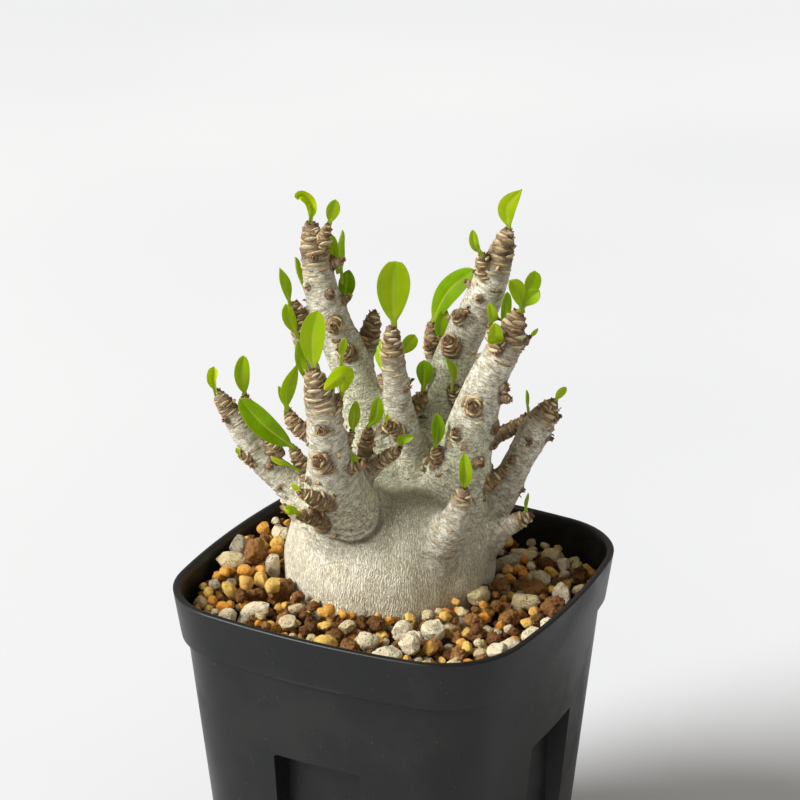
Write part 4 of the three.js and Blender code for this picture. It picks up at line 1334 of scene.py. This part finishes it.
# %% Grow the leaves
def grow_leaf(name, path, half_width, roll, tone, style):
    start = np.array(path[0], float)
    gap = nearest_samples(start[None, :])[1]
    sink = max(float(gap[0]), 0) + 1.1
    foot = start - unit(np.array(path[1], float) - start) * sink
    points, faces, painted = leaf_shell([foot, *path], half_width, roll, sink - 0.1, **style)
    leaf = mesh_piece(name, points * MM, faces, leaf_green)
    for mark, values in painted.items():
        paint(leaf, mark, values)
    paint(leaf, "tone", np.full(len(points), tone))
    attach(leaf, "root")
    return leaf


for name, (base, middle, tip_point, half_width, roll) in LEAVES.items():
    style = dict(LEAF_STYLES.get(name, {}))
    tone = style.pop("tone", 0.5)
    path = [base, *style.pop("path", [middle, tip_point])]
    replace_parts(grow_leaf(name + "_blade", path, half_width, roll, tone, style), name)
for number, (path, half_width, roll, tone) in enumerate(SMALL_LEAVES):
    grow_leaf(f"small_leaf_{number + 1:02d}", path, half_width, roll, tone, {"fold": 0.5})
print("leaves grown:", len(LEAVES) + len(SMALL_LEAVES))

# %% [markdown]
# ## The potting mix
#
# The mix is grains of baked brown clay, small orange pumice, larger porous white pumice, smooth tan
# grit and a few grey stones. A particle system would let them float or cross, so they are laid like
# real grains: a height map remembers how high the bed is, and each grain rests in the lowest of a few
# places.
# %% The bed under the grains
BED_LEVEL = 77.5


def inside_pot(x, y, level, keep):
    """True where a point is further than keep from the pot's inner wall."""
    half = (BAND_HALF + 1.5 * np.clip((level - BAND_FOOT) / 12, 0, 1) if level > BAND_FOOT + 1.6 else
            wall_half(level)) - WALL - keep
    bow, centre, corner_radius, corner = outline_arcs(half)
    a, b = np.maximum(np.abs(x), np.abs(y)), np.minimum(np.abs(x), np.abs(y))
    in_corner = b > (a + centre) * corner / (corner + centre)
    near_corner = np.hypot(a - corner, b - corner) < corner_radius
    return np.where(in_corner, near_corner, np.hypot(a + centre, b) < bow)


def bed_ring(level, share):
    ring = pot_ring(wall_half(level) - WALL - 0.4, level, 1)[:, :2] * share
    return np.column_stack([ring, np.full(len(ring), level)])


bed_points = [bed_ring(level, 1) for level in (6.2, 20, 40, 57.2, 58.8, 68)]
bed_points += [bed_ring(BED_LEVEL, share) for share in np.linspace(1, 0.02, 40)]
bed_rows = len(bed_points)
bed_points = np.vstack(bed_points)
top = bed_points[:, 2] == BED_LEVEL
bed_points[top, 2] += cloud(bed_points[top] * (1, 1, 0), 3.0, 5.0) * 1.2
bed_faces = grid_faces(bed_rows, columns) + end_faces(bed_rows, columns)
bed = mesh_piece("mix_bed", bed_points * MM, bed_faces, None)
print("bed faces:", len(bed_faces))


# %% A heap that remembers its height
CELL = 0.5
CELLS = 192
axis = (np.arange(CELLS) - CELLS / 2 + 0.5) * CELL
heap_x, heap_y = np.meshgrid(axis, axis, indexing="ij")
heap = np.full((CELLS, CELLS), BED_LEVEL)
heap[~inside_pot(heap_x, heap_y, 84, 0.2)] = 200
from_stem = np.hypot(heap_x - CAUDEX_CENTRE[0], heap_y - CAUDEX_CENTRE[1])
heap[from_stem < 24.6] = 200
chance = np.random.default_rng(29)


def footprint(x, y, reach):
    low_x, low_y = int((x - reach) / CELL + CELLS / 2), int((y - reach) / CELL + CELLS / 2)
    count = int(2 * reach / CELL) + 2
    low_x, low_y = np.clip([low_x, low_y], 0, CELLS - count)
    return slice(low_x, low_x + count), slice(low_y, low_y + count)


def resting_height(x, y, size, spin):
    """The centre height at which an egg shape of these half sizes touches the heap."""
    where = footprint(x, y, max(size[:2]))
    dx, dy = heap_x[where] - x, heap_y[where] - y
    a = (dx * math.cos(spin) + dy * math.sin(spin)) / size[0]
    b = (dy * math.cos(spin) - dx * math.sin(spin)) / size[1]
    under = 1 - a ** 2 - b ** 2
    covered = (under > 0) & (heap[where] < 150)
    rise = np.where(covered, size[2] * np.sqrt(np.maximum(under, 0)), 0)
    return where, covered, rise, float(np.max(np.where(covered, heap[where] + rise, -1)))


def lay(x, y, size, spin, sink=0.0):
    where, covered, rise, centre = resting_height(x, y, size, spin)
    centre -= sink
    heap[where] = np.where(covered, np.maximum(heap[where], centre + rise * 0.92), heap[where])
    return centre


# %% [markdown]
# ## Kinds of grain
#
# Each kind has its own size, shape and share of the mix. A grain starts as a fine ball, is flattened by
# a few random planes as broken stone is, and is roughened by noise. Brown clay crumbles, so it gets the
# strongest noise, and washed grit the weakest.
# %% Lay the grains
# kind: share, smallest and largest half size, flatness, planes, roughness
KINDS = {
    "brown": (0.34, 1.2, 2.6, 0.85, 3, 0.24), "orange": (0.42, 1.1, 2.2, 0.85, 9, 0.07),
    "pumice": (0.11, 1.2, 2.8, 0.8, 7, 0.09), "tan": (0.09, 1.4, 2.5, 0.75, 6, 0.08),
    "grit": (0.04, 1.0, 1.7, 0.8, 6, 0.09),
}
# Large grains that catch the eye: kind, x, y, half sizes, turn in degrees, tone
STONES = [
    ("grit", -39.3, -5.5, (2.3, 2.2, 3.2), 20, 1.0), ("tan", -38.3, -11.5, (3.6, 2.0, 2.3), 25, 0.8),
    ("brown", -33.3, -9, (2.4, 2.2, 3.6), 60, 0.9), ("pumice", -28.9, -7.5, (1.9, 1.7, 3.9), 30, 1.0),
    ("brown", -22.5, -15.5, (2.9, 2.5, 2.8), 10, 0.7), ("pumice", -24.5, -23, (3.9, 1.9, 1.9), 20, 0.95),
    ("pumice", -28, -30.5, (2.5, 1.9, 2.5), 60, 0.6), ("tan", -25, -34.5, (3.2, 2.1, 1.8), 10, 0.95),
    ("tan", -37.5, -27, (1.7, 1.6, 2.4), 0, 0.8), ("tan", -33.5, -31.5, (2.6, 1.9, 1.5), 30, 0.5),
    ("orange", -32.6, -21, (1.6, 1.5, 3.0), 0, 0.9), ("orange", -31, -17.5, (1.8, 1.6, 2.4), 50, 0.8),
    ("orange", -28.6, -13.5, (1.8, 1.6, 2.4), 20, 0.9), ("orange", -36.6, -14.8, (1.3, 1.2, 1.6), 0, 0.3),
    ("orange", -22.5, -19, (1.8, 1.6, 2.3), 20, 1.0), ("orange", -2.5, -30.5, (2.7, 1.8, 2.2), 30, 0.9),
    ("orange", 2, -34, (1.9, 1.7, 2.5), 70, 0.7), ("pumice", 7, -27.5, (2.5, 2.1, 2.8), 10, 0.8),
    ("pumice", 13.5, -31, (3.4, 2.6, 2.4), 20, 1.0), ("pumice", 11, -18.5, (2.6, 2.2, 2.2), 80, 0.95),
    ("pumice", 17.5, -16.5, (3.0, 2.4, 2.6), 110, 1.0), ("pumice", 15.5, -22, (1.9, 1.8, 1.9), 0, 0.9),
    ("pumice", 17, -27, (2.5, 2.1, 2.3), 40, 0.85), ("orange", 20.5, -24, (1.5, 1.4, 2.3), 0, 0.6),
    ("tan", 20.5, 1.5, (3.6, 1.9, 2.0), 75, 0.75), ("tan", 29, 8, (3.9, 2.1, 1.9), 20, 0.8),
    ("pumice", 35.5, 16, (3.0, 2.3, 2.4), 100, 0.7), ("tan", 36.5, 23, (2.2, 1.8, 1.8), 0, 0.8),
    ("tan", 24.5, 35, (2.8, 2.5, 2.6), 15, 0.8), ("tan", 18, 30.5, (3.6, 2.0, 2.0), 30, 0.5),
    ("grit", 16.5, 24, (3.8, 1.9, 1.9), 30, 0.9), ("pumice", 35, -12.5, (2.8, 2.4, 2.2), 20, 0.7),
    ("pumice", 37.5, -6, (2.3, 2.1, 2.1), 45, 0.8), ("pumice", 38.5, 1, (2.6, 2.1, 2.1), 80, 0.9),
    ("pumice", 34, -24, (3.3, 2.3, 2.3), 50, 0.85), ("pumice", 31.5, -30, (2.2, 1.8, 1.8), 20, 0.9),
    ("brown", 27, 16, (3.4, 2.9, 2.4), 20, 0.7), ("brown", 36, 8.5, (2.9, 2.5, 2.4), 50, 0.6),
    ("tan", 31.5, 33, (1.6, 1.5, 2.6), 0, 0.6), ("brown", 5, -33, (2.4, 2.0, 1.9), 0, 0.4),
]
TOP_LEVEL = 83.2
grains = []


def piled(x, y):
    """How much higher the mix is heaped round the stem and against the back of the left wall."""
    from_stem = math.hypot(x - CAUDEX_CENTRE[0], y - CAUDEX_CENTRE[1])
    wall = 5.4 * float(smoothstep(-x, 22, 38) * smoothstep(y, -34, -12))
    return min(wall + 2.5 * float(1 - smoothstep(from_stem, 27, 38)), 5.6)


def add_grain(kind, x, y, size, spin, tone, sink=0.0):
    height = lay(x, y, size, spin, sink)
    grains.append((kind, (x, y, height), size, spin, tone))


def scatter(count, ceiling):
    shares = np.array([kind[0] for kind in KINDS.values()])
    laid = 0
    for _ in range(count):
        kind = list(KINDS)[chance.choice(len(KINDS), p=shares / shares.sum())]
        share, small, large, flat, planes, rough = KINDS[kind]
        long = small + (large - small) * chance.random() ** 1.3
        size = (long, long * chance.uniform(0.72, 0.95), long * flat * chance.uniform(0.8, 1))
        spin = chance.uniform(0, math.pi)
        best = None
        for _ in range(14):
            x, y = chance.uniform(-42, 42, 2)
            from_stem = math.hypot(x - CAUDEX_CENTRE[0], y - CAUDEX_CENTRE[1])
            if not inside_pot(x, y, 84, size[0] + 0.1) or from_stem < 24.6 + size[1]:
                continue
            height = resting_height(x, y, size, spin)[3] - piled(x, y)
            if best is None or height < best[0]:
                best = (height, x, y)
        if best and best[0] < ceiling:
            add_grain(kind, best[1], best[2], size, spin, chance.random())
            laid += 1
    return laid


print("lower layer:", scatter(480, TOP_LEVEL - 2.2))
for kind, x, y, size, degrees, tone in STONES:
    add_grain(kind, x, y, [1.1 * half for half in size], math.radians(degrees), tone, sink=0.8)
print("top layer:", scatter(800, TOP_LEVEL))


# %% Shape the grains
def fine_ball(detail):
    shape = bmesh.new()
    bmesh.ops.create_icosphere(shape, subdivisions=detail, radius=1)
    points = np.array([v.co[:] for v in shape.verts])
    faces = [tuple(v.index for v in face.verts) for face in shape.faces]
    shape.free()
    return points, faces


BALLS = {detail: fine_ball(detail) for detail in (3, 4)}


def grain_shape(kind, place, size, spin):
    share, small, large, flat, planes, rough = KINDS[kind]
    shows = place[2] > 81.8 and kind != "orange" or size[0] > 2.3
    points, faces = BALLS[4 if shows else 3]
    seed = chance.uniform(-50, 50, 3)
    points = points * np.array(size)
    for _ in range(planes):
        normal = unit(chance.normal(size=3))
        depth = chance.uniform(0.58, 0.9) * np.linalg.norm(normal * size)
        beyond = np.maximum(points @ normal - depth, 0)
        points = points - beyond[:, None] * normal * 0.97
    out = unit(points)
    lump = cloud(points, size[0] * 0.8, seed) * rough + cloud(points, size[0] * 0.35, seed + 9) * rough * 0.7
    if kind == "brown":
        lump = lump - np.abs(cloud(points, 0.8, seed)) * 0.3 + np.abs(cloud(points, 0.45, seed)) * 0.18
    if kind in ("pumice", "tan"):
        lump = lump + np.minimum(cloud(points, 0.5, seed) + 0.15, 0) * 0.16
    points = points + out * (lump * size[0])[:, None]
    tilt = Matrix.Rotation(chance.normal(0, 0.25), 3, "X") @ Matrix.Rotation(chance.normal(0, 0.25), 3, "Y")
    turn = np.array(Matrix.Rotation(spin, 3, "Z") @ tilt)
    return points @ turn.T + np.array(place), faces


print("grains:", len(grains), "balls of", [len(faces) for _, faces in BALLS.values()], "faces")

# %% [markdown]
# ## Grain colours
#
# Baked clay is a warm dark brown, soft pumice a bright orange-yellow, and the rest goes from cream to
# grey. Each grain's colour is drawn between a shaded and a lit copy of it, a painted shade and highlight,
# by the grain's own painted tone and a cloudy noise, so neighbours differ. Fine noise gives pores and
# flecks of the lit colour, which are painted highlights, and the bed under the grains is nearly black,
# a painted shade for the gaps between them.
# %% Grain finishes
# kind: painted shade colour, painted lit colour, pore colour, roughness, how much speckle, how fine
GRAIN_COLOURS = {
    "brown": ((0.105, 0.044, 0.013), (0.46, 0.22, 0.07), (0.016, 0.006, 0.002), 0.95, 0.6, 1.6),
    "orange": ((0.86, 0.29, 0.01), (1.0, 0.72, 0.2), (0.44, 0.14, 0.01), 0.65, 0.3, 1.6),
    "pumice": ((0.76, 0.60, 0.34), (0.96, 0.87, 0.63), (0.20, 0.14, 0.08), 0.9, 0.8, 1.5),
    "tan": ((0.56, 0.42, 0.2), (0.90, 0.75, 0.44), (0.09, 0.065, 0.04), 0.85, 0.95, 1.9),
    "grit": ((0.28, 0.24, 0.16), (0.62, 0.55, 0.40), (0.05, 0.045, 0.035), 0.8, 0.8, 1.9),
}


def grain_finish(kind, low, high, deep, roughness, speckle, fineness):
    finish = Finish("grain_" + kind)
    tone = finish.painted("tone")
    cloudy = finish.noise(0.55, detail=4, roughness=0.65)
    pores = finish.noise(2.0, detail=4, roughness=0.75)
    lit_fleck_noise = finish.noise(5.0, detail=2)
    specks = finish.cells(fineness).between(0.3, 0.14) * finish.noise(0.6, detail=1).between(0.38, 0.55)
    # Drawn between the painted shade and the painted lit colour by the grain's tone and a cloudy noise.
    colour = finish.mix(low, high, (tone * 0.75 + cloudy * 1.1 - 0.42).clamped())
    colour = finish.mix(colour, deep, pores.between(0.46, 0.3) * 0.75)
    colour = finish.mix(colour, deep, specks * speckle)
    # Flecks of the lit colour: painted highlights.
    colour = finish.mix(colour, high, lit_fleck_noise.between(0.58, 0.72) * 0.4)
    relief = finish.bump(pores * 1.4 - specks * 0.8, 0.55)
    relief = finish.bump(lit_fleck_noise, 0.12, relief)
    return finish.surface({"Base Color": colour, "Roughness": roughness, "Normal": relief,
                           "Specular IOR Level": 0.3})


mix_pieces = []
for kind, colours in GRAIN_COLOURS.items():
    mine = [grain for grain in grains if grain[0] == kind]
    shapes = [grain_shape(*grain[:4]) for grain in mine]
    mesh_points, mesh_faces = joined_shapes(shapes)
    piece = mesh_piece("grains_" + kind, mesh_points * MM, mesh_faces, grain_finish(kind, *colours))
    paint(piece, "tone", np.concatenate([np.full(len(s[0]), grain[4]) for s, grain in zip(shapes, mine)]))
    if kind != "brown":
        piece.data.set_sharp_from_angle(angle=math.radians(38))
    mix_pieces.append(piece)
    print(kind, len(mine), "grains,", len(mesh_faces), "faces")
# The bed shows only in the gaps between the grains; it is nearly black, a painted shade for those gaps.
finish = Finish("bed_gap_shade")
bed_shade_noise = finish.noise(0.8, detail=4)
bed_colour = finish.mix((0.012, 0.006, 0.003), (0.06, 0.025, 0.012), bed_shade_noise.between(0.35, 0.7))
bed.data.materials.append(finish.surface({
    "Base Color": bed_colour, "Roughness": 0.95, "Normal": finish.bump(bed_shade_noise, 0.8),
}))
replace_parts(bed, "potting_mix")
for piece in (bed, *mix_pieces):
    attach(piece, "root")

# %% [markdown]
# ## Floor and light
#
# The plant stands on a plain pale floor, lit by a big soft source high on the left in front, with a
# white room all round that fills the shadows.
# %% Floor
FLOOR_HALF = 6
corners = [(-FLOOR_HALF, -FLOOR_HALF, 0), (FLOOR_HALF, -FLOOR_HALF, 0), (FLOOR_HALF, FLOOR_HALF, 0),
           (-FLOOR_HALF, FLOOR_HALF, 0)]
finish = Finish("pale_floor")
cloudy = finish.noise(0.0016, detail=2)
pale = finish.mix((0.675, 0.695, 0.735), (0.725, 0.74, 0.775), cloudy.between(0.35, 0.65))
floor = mesh_piece("floor", corners, [(0, 1, 2, 3)], finish.surface({"Base Color": pale, "Roughness": 0.9}))

# %% Lights
world = bpy.data.worlds.new("white_room")
world.use_nodes = True
world.node_tree.nodes["Background"].inputs["Color"].default_value = (1, 0.94, 0.84, 1)
world.node_tree.nodes["Background"].inputs["Strength"].default_value = 0.38
bpy.context.scene.world = world
to_left = Vector((-math.cos(CAMERA_AZIMUTH), -math.sin(CAMERA_AZIMUTH), 0))
to_front = Vector((math.sin(CAMERA_AZIMUTH), -math.cos(CAMERA_AZIMUTH), 0))


def soft_sun(name, direction, strength, degrees, colour=(1, 1, 1)):
    light = bpy.data.lights.new(name, "SUN")
    light.energy = strength
    light.angle = math.radians(degrees)
    light.color = colour
    piece = bpy.data.objects.new(name, light)
    piece.rotation_euler = direction.to_track_quat("Z", "Y").to_euler()
    bpy.context.scene.collection.objects.link(piece)


soft_sun("window", 0.80 * to_left + 0.30 * to_front + Vector((0, 0, 0.62)), 4.9, 30, (1, 0.99, 0.965))
